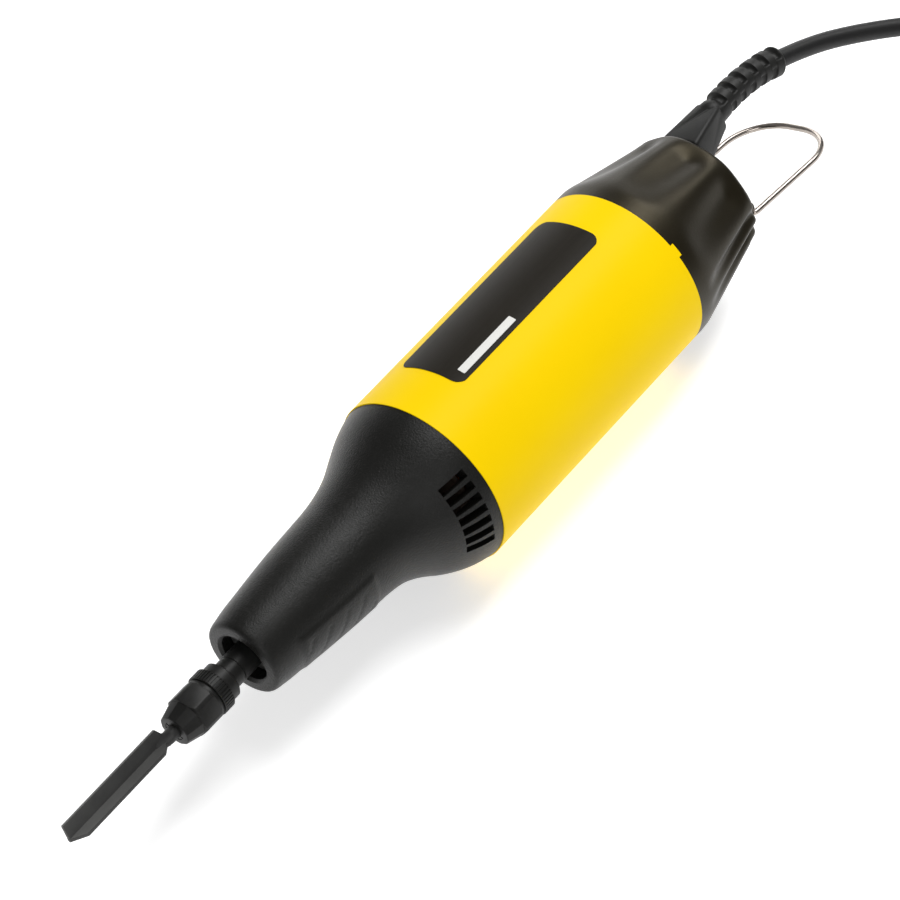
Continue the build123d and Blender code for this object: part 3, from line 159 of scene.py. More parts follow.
def table_finish():
    """Matt pale card."""
    material, place = begin_finish("pale_card")
    fibres = specks(place, 0.004, 3.0)
    return end_finish(material, place, {
        "Base Color": blend_colours(place, fibres, (0.86, 0.86, 0.86, 1), (0.9, 0.9, 0.9, 1)),
        "Roughness": 0.75 + fibres * 0.1,
        "Specular IOR Level": 0.2,
        "Emission Color": (1.0, 1.0, 1.0, 1),
        "Emission Strength": 0.5,
    })


table_side = 8.0
table_top = -0.0002
bpy.ops.object.select_all(action="DESELECT")
bpy.ops.mesh.primitive_plane_add(size=table_side, location=(0, 0, table_top))
table = bpy.context.object
table.name = "table"
table.data.materials.append(table_finish())


# Mains cord
# Two-core flex in a black sheath, 5.4 mm thick and 1.6 m long. It leaves the ribbed sleeve, sinks to a
# put-away coil of four layers behind the tool, and its last stretch ends in the plug.
cord_thickness = 0.0054
sleeve_end = (0.1585, 0.0061, 0.0369)
# From the sleeve down to the top of the coil
cord_fall = (
    sleeve_end,
    (0.17188, 0.00375, 0.03353),
    (0.1896, -0.0043, 0.0292),
    (0.2061, -0.0149, 0.0252),
    (0.2216, -0.0243, 0.0224),
    (0.2376, -0.0314, 0.0209),
    (0.2542, -0.0345, 0.0204),
    (0.2672, -0.03414, 0.0204),
)
# From the foot of the coil to the plug
cord_end = (
    (0.2780, -0.03116, 0.0027),
    (0.2910, -0.03153, 0.0027),
    (0.3046, -0.0298, 0.0042),
    (0.3186, -0.0260, 0.00685),
    (0.3316, -0.0219, 0.00685),
)
coil_middle = (0.2726, 0.002)
coil_inner = 0.024
coil_pitch = 0.006
coil_drop = 0.0059
layer_turns = (2.0, 1.5, 1.5, 1.5)
changing_turns = 0.5
points_a_turn = 18


def coil_point(turn):
    """Where the cord is after so many turns: inwards on the top layer, outwards on the next one down, and
    so on to the table."""
    radius = coil_inner + coil_pitch * layer_turns[0]
    layers_down = 0
    left = turn
    for layer, turns in enumerate(layer_turns):
        outward = -1 if layer % 2 == 0 else 1
        radius += outward * coil_pitch * min(left, turns)
        left -= turns
        if left <= 0 or layer == len(layer_turns) - 1:
            break
        share = min(left / changing_turns, 1)
        radius += outward * coil_pitch * changing_turns * (share - share * share)
        layers_down = layer + share * share * (3 - 2 * share)
        left -= changing_turns
        if left <= 0:
            break
    height = cord_thickness / 2 + coil_drop * (len(layer_turns) - 1 - layers_down)
    radius /= math.cos(math.pi / points_a_turn)
    angle = 2 * math.pi * turn - math.pi / 2
    return coil_middle[0] + radius * math.cos(angle), coil_middle[1] + radius * math.sin(angle), height


coil_turns = sum(layer_turns) + changing_turns * (len(layer_turns) - 1)
coil_steps = round(coil_turns * points_a_turn)
coil_points = [coil_point((step + 0.5) / points_a_turn) for step in range(coil_steps)]
cord_points = [*cord_fall, *coil_points, *cord_end]
cord_curve = bpy.data.curves.new("mains_lead", "CURVE")
cord_curve.dimensions = "3D"
cord_curve.bevel_depth = cord_thickness / 2
cord_curve.bevel_resolution = 6
cord_curve.use_fill_caps = True
spline = cord_curve.splines.new("NURBS")
spline.points.add(len(cord_points) - 1)
for point, place in zip(spline.points, cord_points):
    point.co = (*place, 1.0)
spline.order_u = 3
spline.use_endpoint_u = True
spline.resolution_u = 8
mains_lead = bpy.data.objects.new("mains_lead", cord_curve)
bpy.context.scene.collection.objects.link(mains_lead)


def sheath_finish():
    """Black vinyl sheath, nearly matt, with a faint drawn grain."""
    material, place = begin_finish("cord_vinyl")
    grain = specks(place, 0.0009, 3.0)
    rubbed = specks(place, 0.03, 2.0)
    return end_finish(material, place, {
        "Base Color": blend_colours(place, rubbed, (0.006, 0.006, 0.006, 1), (0.010, 0.010, 0.010, 1)),
        "Roughness": 0.40 + grain * 0.16,
        "Specular IOR Level": 0.3,
        "Normal": relief(place, grain, 0.00003),
    })


cord_vinyl = sheath_finish()
cord_curve.materials.append(cord_vinyl)
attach(mains_lead, "housing")
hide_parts("mains_cord", "cord_coil", "cord_tail")


# Motor barrel
# A plain tube of glossy yellow ABS, 54 mm across. It is injection moulded and held between the handle
# and the rear cap by long screws; a small tab on its rear edge finds its place in the cap.
def barrel_yellow():
    """Yellow moulding: a faint orange peel, slow changes of gloss and rubbed patches where it is held."""
    material, place = begin_finish("barrel_yellow")
    peel = specks(place, 0.0022, 1.0)
    cloud = specks(place, 0.035, 2.0)
    dust = specks(place, 0.0007, 3.0)
    colour = blend_colours(place, cloud, (0.90, 0.60, 0.0005, 1), (0.94, 0.66, 0.001, 1))
    return end_finish(material, place, {
        "Base Color": colour,
        "Roughness": 0.36 + cloud * 0.1 + dust * 0.05,
        "Specular IOR Level": 0.05,
        "Normal": relief(place, peel, 0.00004, 0.6),
    })


def paint(finish, *names):
    """Gives the frame's own pieces their finish."""
    for name in names:
        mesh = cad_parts[name].data
        mesh.materials.clear()
        mesh.materials.append(finish)


paint(barrel_yellow(), "barrel_housing")


# Label
# A black satin film stuck on the barrel, 63 mm long and bent to its curve, with a pale strip of coated
# paper laid on it. Both are left bare.
def label_film():
    """Satin print film with a fine tooth and a few scuffs along the tool."""
    material, place = begin_finish("label_film")
    tooth = specks(place, 0.00025, 2.0)
    along = place.node("ShaderNodeMapping", sockets={"Vector": place, "Scale": (60, 1400, 1400)})
    scuffs = along.node("ShaderNodeTexNoise", sockets={"Vector": along, "Scale": 1.0, "Detail": 4.0})
    return end_finish(material, place, {
        "Base Color": blend_colours(place, scuffs, (0.010, 0.0082, 0.0055, 1), (0.017, 0.014, 0.010, 1)),
        "Roughness": 0.40 + scuffs * 0.14,
        "Specular IOR Level": 0.12,
        "Normal": relief(place, tooth, 0.000008),
    })


def strip_film():
    """Pale coated paper."""
    material, place = begin_finish("strip_film")
    fibres = specks(place, 0.0004, 4.0)
    return end_finish(material, place, {
        "Base Color": blend_colours(place, fibres, (0.66, 0.66, 0.63, 1), (0.78, 0.78, 0.75, 1)),
        "Roughness": 0.45 + fibres * 0.1,
        "Normal": relief(place, fibres, 0.00001),
    })


paint(label_film(), "rating_label")
paint(strip_film(), "label_strip")


# Handle
# The nose and handle in one moulding of black glass-filled nylon, spark-eroded so that it doesn't slip.
# Seven vent slots on each side let out the fan's air, and two finger pads stand a little proud.
def grained_black(name, dark, pale, grain, depth, rough, shine=0.2, tint=(1, 1, 1, 1)):
    """Black moulded plastic with a spark-eroded grain of that size and depth, in metres."""
    material, place = begin_finish(name)
    pits = specks(place, grain, 2.0)
    fine = specks(place, grain / 3, 1.0)
    cloud = specks(place, 0.02, 3.0)
    return end_finish(material, place, {
        "Base Color": blend_colours(place, cloud, (*dark, 1), (*pale, 1)),
        "Roughness": rough + cloud * 0.06 + pits * 0.1,
        "Specular IOR Level": shine,
        "Specular Tint": tint,
        "Normal": relief(place, pits + fine * 0.5, depth),
    })


handle_black = grained_black("handle_black", (0.005, 0.005, 0.0043), (0.0075, 0.0075, 0.0064),
                             grain=0.0005, depth=0.00012, rough=0.27, shine=0.24)
tool_shift = -0.0154
tool_height = 0.027
tool_roll = math.radians(-23.5)
smooth_angle = math.radians(32)
nose_front = -0.075
rim_rounding = 0.0012
plunger_rise = 0.0031
ring_gap = 0.00625
ring_radii = (0.01164, 0.0125, 0.01309, 0.01374, 0.01434, 0.01482, 0.0152, 0.01561, 0.01666, 0.01895,
              0.0223, 0.02511, 0.0267)
ring_rises = (1.0, 1.0, 1.0, 0.97, 0.94, 0.89, 0.85, 0.82, 0.76, 0.48, 0.14, 0.02, 0.0)
pad_middle = -0.051
pad_half_length = 0.0145
pad_half_width = 0.0075
pad_turn = 112.0
pad_rise = 0.0004
pad_edge = 0.0018
groove_pitch = 0.0064
groove_half_width = 0.0007
groove_half_length = 0.0042
groove_depth = 0.0003
groove_slant = 0.00014
grooves_reach = 0.0125
# Rings from the rim to the barrel, closest together where the pads are: first place, gap and number
ring_rows = ((-0.0733, 0.0018, 4), (-0.0664, 0.0008, 39), (-0.0348, 0.00174, 21))
# Steps of the hollows, each a place along the tool and a radius
motor_room_radius = 0.0225
mouth_steps = ((-0.077, 0.0082), (-0.075, 0.0082), (-0.0742, 0.0074), (-0.0712, 0.0074), (-0.0708, 0.0084),
               (-0.066, 0.0084))
bush_bore_steps = ((-0.068, 0.00652), (-0.022, 0.00652))
spring_room_steps = ((-0.054, 0.008), (-0.042, 0.008))
motor_room_steps = ((-0.029, 0.0086), (-0.020, 0.0086), (-0.020, 0.01363), (-0.0135, 0.01363),
                    (-0.0135, 0.0173), (-0.0102, 0.021), (0.0, motor_room_radius),
                    (0.001, motor_room_radius))
vent_count = 7
vent_front = -0.0111
vent_rear = -0.0031
vent_floor = 0.019
vent_mouth = 0.0285
vent_half_width = 0.00122
vent_middle = 87.0
vent_spacing = 8.45
# The spigot stands inside the barrel's front end and carries two bosses for the long screws
spigot_end = 0.006
spigot_steps = ((-0.002, 0.0247), (spigot_end, 0.0247))
spigot_bore_steps = ((-0.003, 0.0222), (0.0, motor_room_radius), (0.008, motor_room_radius))
boss_steps = ((-0.001, 0.0029), (spigot_end, 0.0029))
boss_limit_steps = ((-0.003, 0.0246), (0.009, 0.0246))
boss_offset = 0.022
screw_bore = 0.00153
boss_bore_steps = ((0.0004, screw_bore), (0.008, screw_bore))


def finish_object(piece, name):
    """Names a piece and fixes its place, turn and size in its mesh."""
    piece.name = name
    bpy.ops.object.select_all(action="DESELECT")
    piece.select_set(True)
    bpy.context.view_layer.objects.active = piece
    bpy.ops.object.transform_apply(location=True, rotation=True, scale=True)
    return piece


def turn_bar(stations, sides=64, rise=0.0, across=0.0):
    """A round bar along the tool: one disc extruded and scaled from station to station.
    A station is a place, a radius and, where the bar's middle climbs, how high it is there."""
    bpy.ops.object.select_all(action="DESELECT")
    start, radius, *climb = stations[0]
    rise = climb[0] if climb else rise
    bpy.ops.mesh.primitive_circle_add(vertices=sides, radius=radius, fill_type="NGON",
                                      location=(start, across, rise), rotation=(0, math.pi / 2, 0))
    bar = finish_object(bpy.context.object, "bar")
    bpy.ops.object.mode_set(mode="EDIT")
    bpy.ops.mesh.select_all(action="SELECT")
    for station, wider, *climb in stations[1:]:
        higher = climb[0] if climb else rise
        bpy.ops.mesh.extrude_region_move(
            TRANSFORM_OT_translate={"value": (station - start, 0, higher - rise)})
        bpy.ops.transform.resize(value=(1, wider / radius, wider / radius),
                                 center_override=(station, across, higher))
        start, radius, rise = station, wider, higher
    bpy.ops.mesh.select_all(action="SELECT")
    bpy.ops.mesh.normals_make_consistent(inside=False)
    bpy.ops.object.mode_set(mode="OBJECT")
    return bar


def machine_block(corner, opposite, turn=0.0):
    """A block between two opposite corners, turned about the tool's axis by that many degrees."""
    bpy.ops.object.select_all(action="DESELECT")
    size = [abs(end - start) for start, end in zip(corner, opposite)]
    middle = [(end + start) / 2 for start, end in zip(corner, opposite)]
    bpy.ops.mesh.primitive_cube_add(size=1.0, location=middle, scale=size)
    finish_object(bpy.context.object, "block")
    bpy.context.object.rotation_euler = (math.radians(turn), 0, 0)
    return finish_object(bpy.context.object, "block")


def fit_together(piece, operation, *tools):
    """Cuts the tools out of a piece, or moulds them on to it."""
    tray = bpy.data.collections.new("tray")
    for tool in tools:
        tray.objects.link(tool)
    bpy.context.view_layer.objects.active = piece
    modifier = piece.modifiers.new("fit", "BOOLEAN")
    modifier.operation = operation
    modifier.solver = "MANIFOLD"
    modifier.operand_type = "COLLECTION"
    modifier.collection = tray
    bpy.ops.object.modifier_apply(modifier=modifier.name)
    for tool in tools:
        bpy.data.objects.remove(tool)
    bpy.data.collections.remove(tray)


def push_in(piece, depth_at, deepest):
    """Presses a piece's skin in by the depth that is worked out for each point, or out where it is less
    than nothing."""
    pressed = piece.vertex_groups.new(name="pressed")
    for vertex in piece.data.vertices:
        pressed.add([vertex.index], min(max(depth_at(vertex.co) / deepest, 0), 1), "REPLACE")
    bpy.context.view_layer.objects.active = piece
    press = piece.modifiers.new("press", "DISPLACE")
    press.direction = "NORMAL"
    press.mid_level = 0.0
    press.strength = -deepest
    press.vertex_group = "pressed"
    bpy.ops.object.modifier_apply(modifier="press")
    piece.vertex_groups.clear()


def ease_edges(piece, width, segments=2, angle=35.0):
    """Rounds the sharp edges of a piece."""
    bpy.context.view_layer.objects.active = piece
    modifier = piece.modifiers.new("ease", "BEVEL")
    modifier.width = width
    modifier.segments = segments
    modifier.limit_method = "ANGLE"
    modifier.angle_limit = math.radians(angle)
    bpy.ops.object.modifier_apply(modifier=modifier.name)


def lay_down(piece, name, finish, body, slot, *nodes):
    """Rolls a finished piece to where the tool lies, gives it its finish and hangs it on its body."""
    piece.rotation_euler = (tool_roll, 0, 0)
    piece.location = (tool_shift, 0, tool_height)
    finish_object(piece, name)
    bpy.ops.object.shade_smooth_by_angle(angle=smooth_angle)
    piece.data.materials.clear()
    piece.data.materials.append(finish)
    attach(piece, body)
    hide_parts(*nodes)


def smooth_between(values, place):
    """A value between the listed ones, on a curve that bends through them."""
    index = min(max(int(place), 0), len(values) - 2)
    share = place - index
    before = values[max(index - 1, 0)]
    low, high = values[index], values[index + 1]
    after = values[min(index + 2, len(values) - 1)]
    leave, arrive = (high - before) / 2, (after - low) / 2
    return (low * (1 + 2 * share) * (1 - share) ** 2 + high * share * share * (3 - 2 * share)
            + leave * share * (1 - share) ** 2 - arrive * share * share * (1 - share))


def handle_ring(station):
    """Station, radius and rise of the handle's skin."""
    place = (station - nose_front) / ring_gap
    return station, smooth_between(ring_radii, place), smooth_between(ring_rises, place) * plunger_rise


def pad_dent(place):
    """The two finger pads swell softly out of the handle, and four slanted grooves cross each."""
    radius = math.hypot(place.y, place.z - plunger_rise)
    angle = math.degrees(math.atan2(-place.y, place.z - plunger_rise))
    off = math.radians(abs(abs(angle) - pad_turn)) * radius
    along = place.x - pad_middle
    inside = min(pad_half_length - abs(along), pad_half_width - off) / pad_edge
    swell = min(max(inside, 0), 1)
    swell = swell * swell * (3 - 2 * swell)
    slant = along + (abs(angle) - pad_turn) * groove_slant
    row = abs((slant / groove_pitch + 0.5) % 1 - 0.5) * groove_pitch
    grooved = off < groove_half_length and abs(along) < grooves_reach
    groove = max(1 - row / groove_half_width, 0) if grooved else 0
    return -swell * (pad_rise - groove_depth * groove)


rim = (nose_front, ring_radii[0] - rim_rounding, plunger_rise)
rounding = [(nose_front + rim_rounding * (1 - math.cos(math.radians(turn))),
             ring_radii[0] - rim_rounding * (1 - math.sin(math.radians(turn))), plunger_rise)
            for turn in (25, 50, 75)]
rings = [handle_ring(first + step * gap) for first, gap, count in ring_rows for step in range(count)]
moulded_handle = turn_bar([rim, *rounding, *rings], 180)
push_in(moulded_handle, pad_dent, -0.0005)
mouth = turn_bar(mouth_steps, 96, plunger_rise)
bush_bore = turn_bar(bush_bore_steps, 72, plunger_rise)
spring_room = turn_bar(spring_room_steps, 72, plunger_rise)
motor_room = turn_bar(motor_room_steps, 96)
vents = [machine_block((vent_front, -vent_half_width, vent_floor), (vent_rear, vent_half_width, vent_mouth),
                       side * (vent_middle + (slot - vent_count // 2) * vent_spacing))
         for side in (-1, 1) for slot in range(vent_count)]
spigot = turn_bar(spigot_steps, 96)
fit_together(spigot, "DIFFERENCE", turn_bar(spigot_bore_steps, 96))
fit_together(moulded_handle, "DIFFERENCE", mouth, bush_bore, spring_room, motor_room, *vents)
bosses = []
for side in (-1, 1):
    boss = turn_bar(boss_steps, 32, side * boss_offset)
    fit_together(boss, "INTERSECT", turn_bar(boss_limit_steps, 96))
    bosses.append(boss)
fit_together(moulded_handle, "UNION", spigot, *bosses)
fit_together(moulded_handle, "DIFFERENCE",
             *[turn_bar(boss_bore_steps, 24, side * boss_offset) for side in (-1, 1)])
lay_down(moulded_handle, "moulded_handle", handle_black, "housing", "black_plastic", "nose_housing")


# Rear cap
# A tapered cap of the same nylon, with a smoother skin. Broad scoops on top and narrow flutes round the
# rest give the hand a hold. Its rear wall has air slots, two ears for the bail and the cord's hole.
cap_black = grained_black("cap_black", (0.0055, 0.0044, 0.0024), (0.009, 0.0072, 0.0038),
                          grain=0.0007, depth=0.00002, rough=0.31, shine=0.26, tint=(1.0, 0.86, 0.58, 1))
cap_front = 0.0907
land_end = 0.0942
slope_start = 0.0967
bend_length = 0.005
rim_start = 0.1258
cap_back = 0.127
ring_step = 0.0012
cap_radius = 0.027
cap_back_radius = 0.0204
cap_slope = (cap_radius - cap_back_radius) / (cap_back - slope_start)
seat_front = 0.0847
cap_lining = 0.0225
cap_spigot = 0.0247
room_end = 0.124
room_end_radius = 0.0160
post_spread = 0.012
cord_rise = 0.014
ear_root = 0.1265
ear_middle = (0.1303, 0.0126, -0.0064)
ear_radius = 0.0026
ear_thickness = 0.0026
bail_hole_radius = 0.00094
clamp_post_low = (0.106, 0.0046, 0.0113)
clamp_post_high = (0.112, 0.0094, 0.0191)
clamp_bore = 0.00123
clamp_hole_place = (0.109, 0.007)
clamp_hole_depth = 0.008
bail_hole_length = 0.005
tab_turn = 62.0
tab_notch_corners = ((0.0887, -0.0021, 0.0248), (0.0919, 0.0021, 0.029))
# Steps of the posts and of the holes through the rear wall, each a place along the tool and a radius
past_wall = 0.129
screw_post_steps = ((0.10004, 0.0032), (0.125, 0.0032))
screw_hole_steps = ((0.0980, screw_bore), (past_wall, screw_bore))
head_seat_steps = ((0.1248, 0.0026), (past_wall, 0.0026))
cord_hole_steps = ((0.120, 0.00433), (0.130, 0.00433))
flange_seat_steps = ((0.118, 0.00533), (room_end, 0.00533))
air_slot_turns = (140, 160, 180, 200, 220)
air_slot_corners = ((0.122, -0.0008, 0.007), (past_wall, 0.0008, 0.012))
# How far each ring of the rear rim goes on, and the share of the radius that it keeps
rim_steps = ((0.0007, 0.985), (0.0004, 0.975), (0.0001, 0.96), (0.0, 0.9))
scoop_setback = 0.0045
fade_start = 0.8
fade_length = 0.2
# The middle and half width of each trough in degrees, its depth, and how much of it fades out at the rear
scoops = [(side * angle, 22.0, 0.0023, 0.9) for side in (-1, 1) for angle in (23.0, 67.0)]
flutes = [(97.0 + 15.0 * index, 7.4, 0.0017, 0.5) for index in range(12)]


def scoop_depth(place):
    """How deep the scoops and flutes go at a place on the cap: soft troughs that deepen from the land and
    run out before the rear rim."""
    along = min(max((place.x - cap_front - scoop_setback) / (cap_back - cap_front - scoop_setback), 0), 1)
    angle = math.degrees(math.atan2(-place.y, place.z))
    run_out = max(along - fade_start, 0) / fade_length
    depth = 0.0
    for middle, half_width, deepest, fading in scoops + flutes:
        off = min(abs((angle - middle + 180) % 360 - 180) / half_width, 1)
        swing = (1 - (1 - along) ** 2.4) * (1 - fading * run_out * run_out * (3 - 2 * run_out))
        depth += deepest * swing * (1 + math.cos(math.pi * off)) / 2
    return depth


cap_stations = [cap_front, *(cap_front + ring_step * step for step in range(1, 30)), rim_start]
bpy.ops.object.select_all(action="DESELECT")
bpy.ops.mesh.primitive_circle_add(vertices=360, radius=cap_radius, location=(cap_front, 0, 0),
                                  rotation=(0, math.pi / 2, 0))
moulded_cap = finish_object(bpy.context.object, "moulded_cap")
bpy.ops.object.mode_set(mode="EDIT")
bpy.ops.mesh.select_all(action="SELECT")
ring_radius = cap_radius
for before, station in zip(cap_stations, cap_stations[1:]):
    past_land = max(station - land_end, 0)
    bend = min(past_land / bend_length, 1)
    wider = cap_radius - cap_slope * (past_land * bend / 2 if bend < 1 else past_land - bend_length / 2)
    bpy.ops.mesh.extrude_edges_move(TRANSFORM_OT_translate={"value": (station - before, 0, 0)})
    bpy.ops.transform.resize(value=(1, wider / ring_radius, wider / ring_radius),
                             center_override=(station, 0, 0))
    ring_radius = wider
bpy.ops.mesh.select_all(action="SELECT")
bpy.ops.mesh.normals_make_consistent(inside=False)
bpy.ops.object.mode_set(mode="OBJECT")
push_in(moulded_cap, scoop_depth, 0.004)


def pick_open_rim(piece, rear):
    """Selects the open rim of a shell, the rear one or the front one, and nothing else."""
    bpy.ops.object.mode_set(mode="EDIT")
    bpy.ops.mesh.select_mode(type="VERT")
    bpy.ops.mesh.select_all(action="DESELECT")
    bpy.ops.mesh.select_non_manifold(use_wire=False)
    bpy.ops.object.mode_set(mode="OBJECT")
    for vertex in piece.data.vertices:
        vertex.select = vertex.select and (vertex.co.x > (cap_front + cap_back) / 2) == rear
    for edge in piece.data.edges:
        edge.select = all(piece.data.vertices[end].select for end in edge.vertices)
    bpy.ops.object.mode_set(mode="EDIT")
    bpy.ops.mesh.select_mode(type="EDGE")


def close_pole(station):
    """Draws the selected ring together on the axis and closes it."""
    bpy.ops.mesh.extrude_edges_move()
    bpy.ops.transform.resize(value=(0.01, 0.01, 0.01), center_override=(station, 0, 0))
    bpy.ops.mesh.edge_face_add()


pick_open_rim(moulded_cap, True)
bpy.ops.transform.resize(value=(0, 1, 1), center_override=(rim_start, 0, 0))
for step, share in rim_steps:
    bpy.ops.mesh.extrude_edges_move(TRANSFORM_OT_translate={"value": (step, 0, 0)})
    bpy.ops.transform.resize(value=(1, share, share), center_override=(cap_back, 0, 0))
close_pole(cap_back)
pick_open_rim(moulded_cap, False)
lining = ((cap_front, cap_spigot), (seat_front, cap_spigot), (seat_front, cap_lining),
          (slope_start, cap_lining), (room_end, room_end_radius))
inner_station, inner_radius = cap_front, cap_radius
for station, narrower in lining:
    bpy.ops.mesh.extrude_edges_move(TRANSFORM_OT_translate={"value": (station - inner_station, 0, 0)})
    bpy.ops.transform.resize(value=(1, narrower / inner_radius, narrower / inner_radius),
                             center_override=(station, 0, 0))
    inner_station, inner_radius = station, narrower
close_pole(room_end)
bpy.ops.mesh.select_all(action="SELECT")
bpy.ops.mesh.normals_make_consistent(inside=False)
bpy.ops.object.mode_set(mode="OBJECT")


def ear_bar(name, sides, radius, length, side):
    """A round bar across the tool, on the pivot of the ear on that side."""
    bpy.ops.object.select_all(action="DESELECT")
    bpy.ops.mesh.primitive_cylinder_add(vertices=sides, radius=radius, depth=length,
                                        rotation=(math.pi / 2, 0, 0),
                                        location=(ear_middle[0], side * ear_middle[1], ear_middle[2]))
    return finish_object(bpy.context.object, name)


fittings = []
for side in (-1, 1):
    ear = ear_bar("ear", 48, ear_radius, ear_thickness, side)
    ear_foot = machine_block(
        (ear_root, side * (ear_middle[1] - ear_thickness / 2), ear_middle[2] - ear_radius),
        (ear_middle[0], side * (ear_middle[1] + ear_thickness / 2), ear_middle[2] + ear_radius))
    fit_together(ear, "UNION", ear_foot)
    ease_edges(ear, 0.0003)
    clamp_post = machine_block((clamp_post_low[0], side * clamp_post_low[1], clamp_post_low[2]),
                               (clamp_post_high[0], side * clamp_post_high[1], clamp_post_high[2]))
    screw_post = turn_bar(screw_post_steps, 40, 0.0, side * post_spread)
    fittings += [ear, clamp_post, screw_post]
fit_together(moulded_cap, "UNION", *fittings)
cord_hole = turn_bar(cord_hole_steps, 48, cord_rise)
flange_seat = turn_bar(flange_seat_steps, 48, cord_rise)
tab_notch = machine_block(*tab_notch_corners, tab_turn)
holes = [cord_hole, flange_seat, tab_notch]
for side in (-1, 1):
    bail_hole = ear_bar("bail_hole", 32, bail_hole_radius, bail_hole_length, side)
    screw_hole = turn_bar(screw_hole_steps, 32, 0.0, side * post_spread)
    head_seat = turn_bar(head_seat_steps, 32, 0.0, side * post_spread)
    bpy.ops.object.select_all(action="DESELECT")
    bpy.ops.mesh.primitive_cylinder_add(vertices=32, radius=clamp_bore, depth=clamp_hole_depth,
                                        location=(clamp_hole_place[0], side * clamp_hole_place[1],
                                                  clamp_post_low[2]))
    clamp_hole = finish_object(bpy.context.object, "clamp_hole")
    holes += [bail_hole, screw_hole, head_seat, clamp_hole]
for turn in air_slot_turns:
    holes.append(machine_block(*air_slot_corners, turn))
fit_together(moulded_cap, "DIFFERENCE", *holes)
lay_down(moulded_cap, "moulded_cap", cap_black, "housing", "black_plastic", "rear_cap")


# Cord sleeve
# A strain relief of black soft vinyl, moulded round the cord. Its foot is flat-sided, and its neck is
# slotted from both sides in turn so that it bends with the cord.
def sleeve_black():
    """Matt soft vinyl with a faint bloom."""
    material, place = begin_finish("sleeve_black")
    bloom = specks(place, 0.006, 3.0)
    grain = specks(place, 0.0004, 2.0)
    return end_finish(material, place, {
        "Base Color": blend_colours(place, bloom, (0.006, 0.006, 0.0055, 1), (0.010, 0.010, 0.009, 1)),
        "Roughness": 0.42 + bloom * 0.12,
        "Specular IOR Level": 0.28,
        "Normal": relief(place, grain, 0.00002),
    })


sleeve_seat = Vector((0.1116, 0.00558, 0.03984))
neck_step = Vector((0.0169, 0.001818, 0.000761))
end_step = Vector((0.0469, 0.000518, -0.002939))
end_way = Vector((0.949, -0.206, -0.238))
neck_start = 0.017
neck_length = 0.0304
neck_radius = 0.0043
slot_count = 11
slot_width = 0.0021
slot_flank = 0.00018
slot_side = math.radians(-44.0)
slot_squeeze = 0.92
# How far the slots from either side reach round the neck, and the share of the radius that they leave
upper_slot = (math.radians(104), 0.68)
lower_slot = (math.radians(46), 0.8)
neck_spread = 0.00025
neck_turn = math.radians(4.8)
neck_end = neck_start + neck_length
neck_root = ((neck_start - 0.0030, 0.0030), (neck_start - 0.0022, neck_radius))
neck_lip = ((neck_end - 0.0009, 0.0046), (neck_end - 0.0004, 0.0044), (neck_end - 0.0001, 0.0040),
            (neck_end, 0.0034))
foot_width = 0.0128
foot_height = 0.0114
foot_drop = 0.0008
foot_taper = (0.61, 0.70)
foot_rounding = 0.0013
# The end that the cap holds: a flange inside its rear wall and a short collar through it
held_steps = ((0.122, 0.0053), (0.12395, 0.0053), (0.12395, 0.0043), (0.129, 0.0043))
sleeve_smooth_angle = math.radians(38)


def around(place):
    """Angle of a point round the sleeve, from the label's side towards the near side."""
    return math.atan2(-place.y, place.z)


def between(one, other):
    """Angle between two directions round the sleeve, whichever way is shorter."""
    return abs((one - other + math.pi) % (2 * math.pi) - math.pi)


def pick(piece, kind, wanted):
    """Selects the faces or the points of a piece that pass a test, and nothing else, in edit mode."""
    bpy.ops.object.mode_set(mode="EDIT")
    bpy.ops.mesh.select_mode(type=kind)
    bpy.ops.mesh.select_all(action="DESELECT")
    bpy.ops.object.mode_set(mode="OBJECT")
    for part in piece.data.polygons if kind == "FACE" else piece.data.vertices:
        part.select = wanted(part)
    bpy.ops.object.mode_set(mode="EDIT")


neck_rings = [*neck_root]
slots = []
for index in range(1, slot_count + 1):
    middle = neck_start + neck_length * index / (slot_count + 1)
    slots.append((middle, index % 2 == 1))
    for off in (-slot_width / 2 - slot_flank, -slot_width / 2, slot_width / 2, slot_width / 2 + slot_flank):
        neck_rings.append((middle + off, neck_radius + neck_spread * (index / slot_count) ** 4))
neck_rings.sort()
moulded_sleeve = turn_bar([*neck_rings, *neck_lip], 48)
for middle, upper in slots:
    side = slot_side if upper else slot_side + math.pi
    reach, narrowed = upper_slot if upper else lower_slot
    pick(moulded_sleeve, "VERT", lambda point: abs(point.co.x - middle) < (slot_width + slot_flank) / 2
         and between(around(point.co), side) < reach)
    bpy.ops.transform.resize(value=(slot_squeeze, narrowed, narrowed), center_override=(middle, 0, 0))
    bpy.ops.object.mode_set(mode="OBJECT")
rounding = moulded_sleeve.modifiers.new("rounding", "SUBSURF")
rounding.levels = 1
rounding.render_levels = 1
bpy.ops.object.modifier_apply(modifier="rounding")
bpy.ops.object.select_all(action="DESELECT")
bpy.ops.mesh.primitive_cube_add(size=1.0, location=(neck_start / 2, 0, -foot_drop),
                                scale=(neck_start, foot_width, foot_height))
foot = finish_object(bpy.context.object, "foot")
pick(foot, "FACE", lambda face: face.normal.x > 0.9)
bpy.ops.transform.resize(value=(1, *foot_taper), center_override=(neck_start, 0, 0))
bpy.ops.object.mode_set(mode="OBJECT")
ease_edges(foot, foot_rounding, 3, 20.0)
fit_together(moulded_sleeve, "UNION", foot)
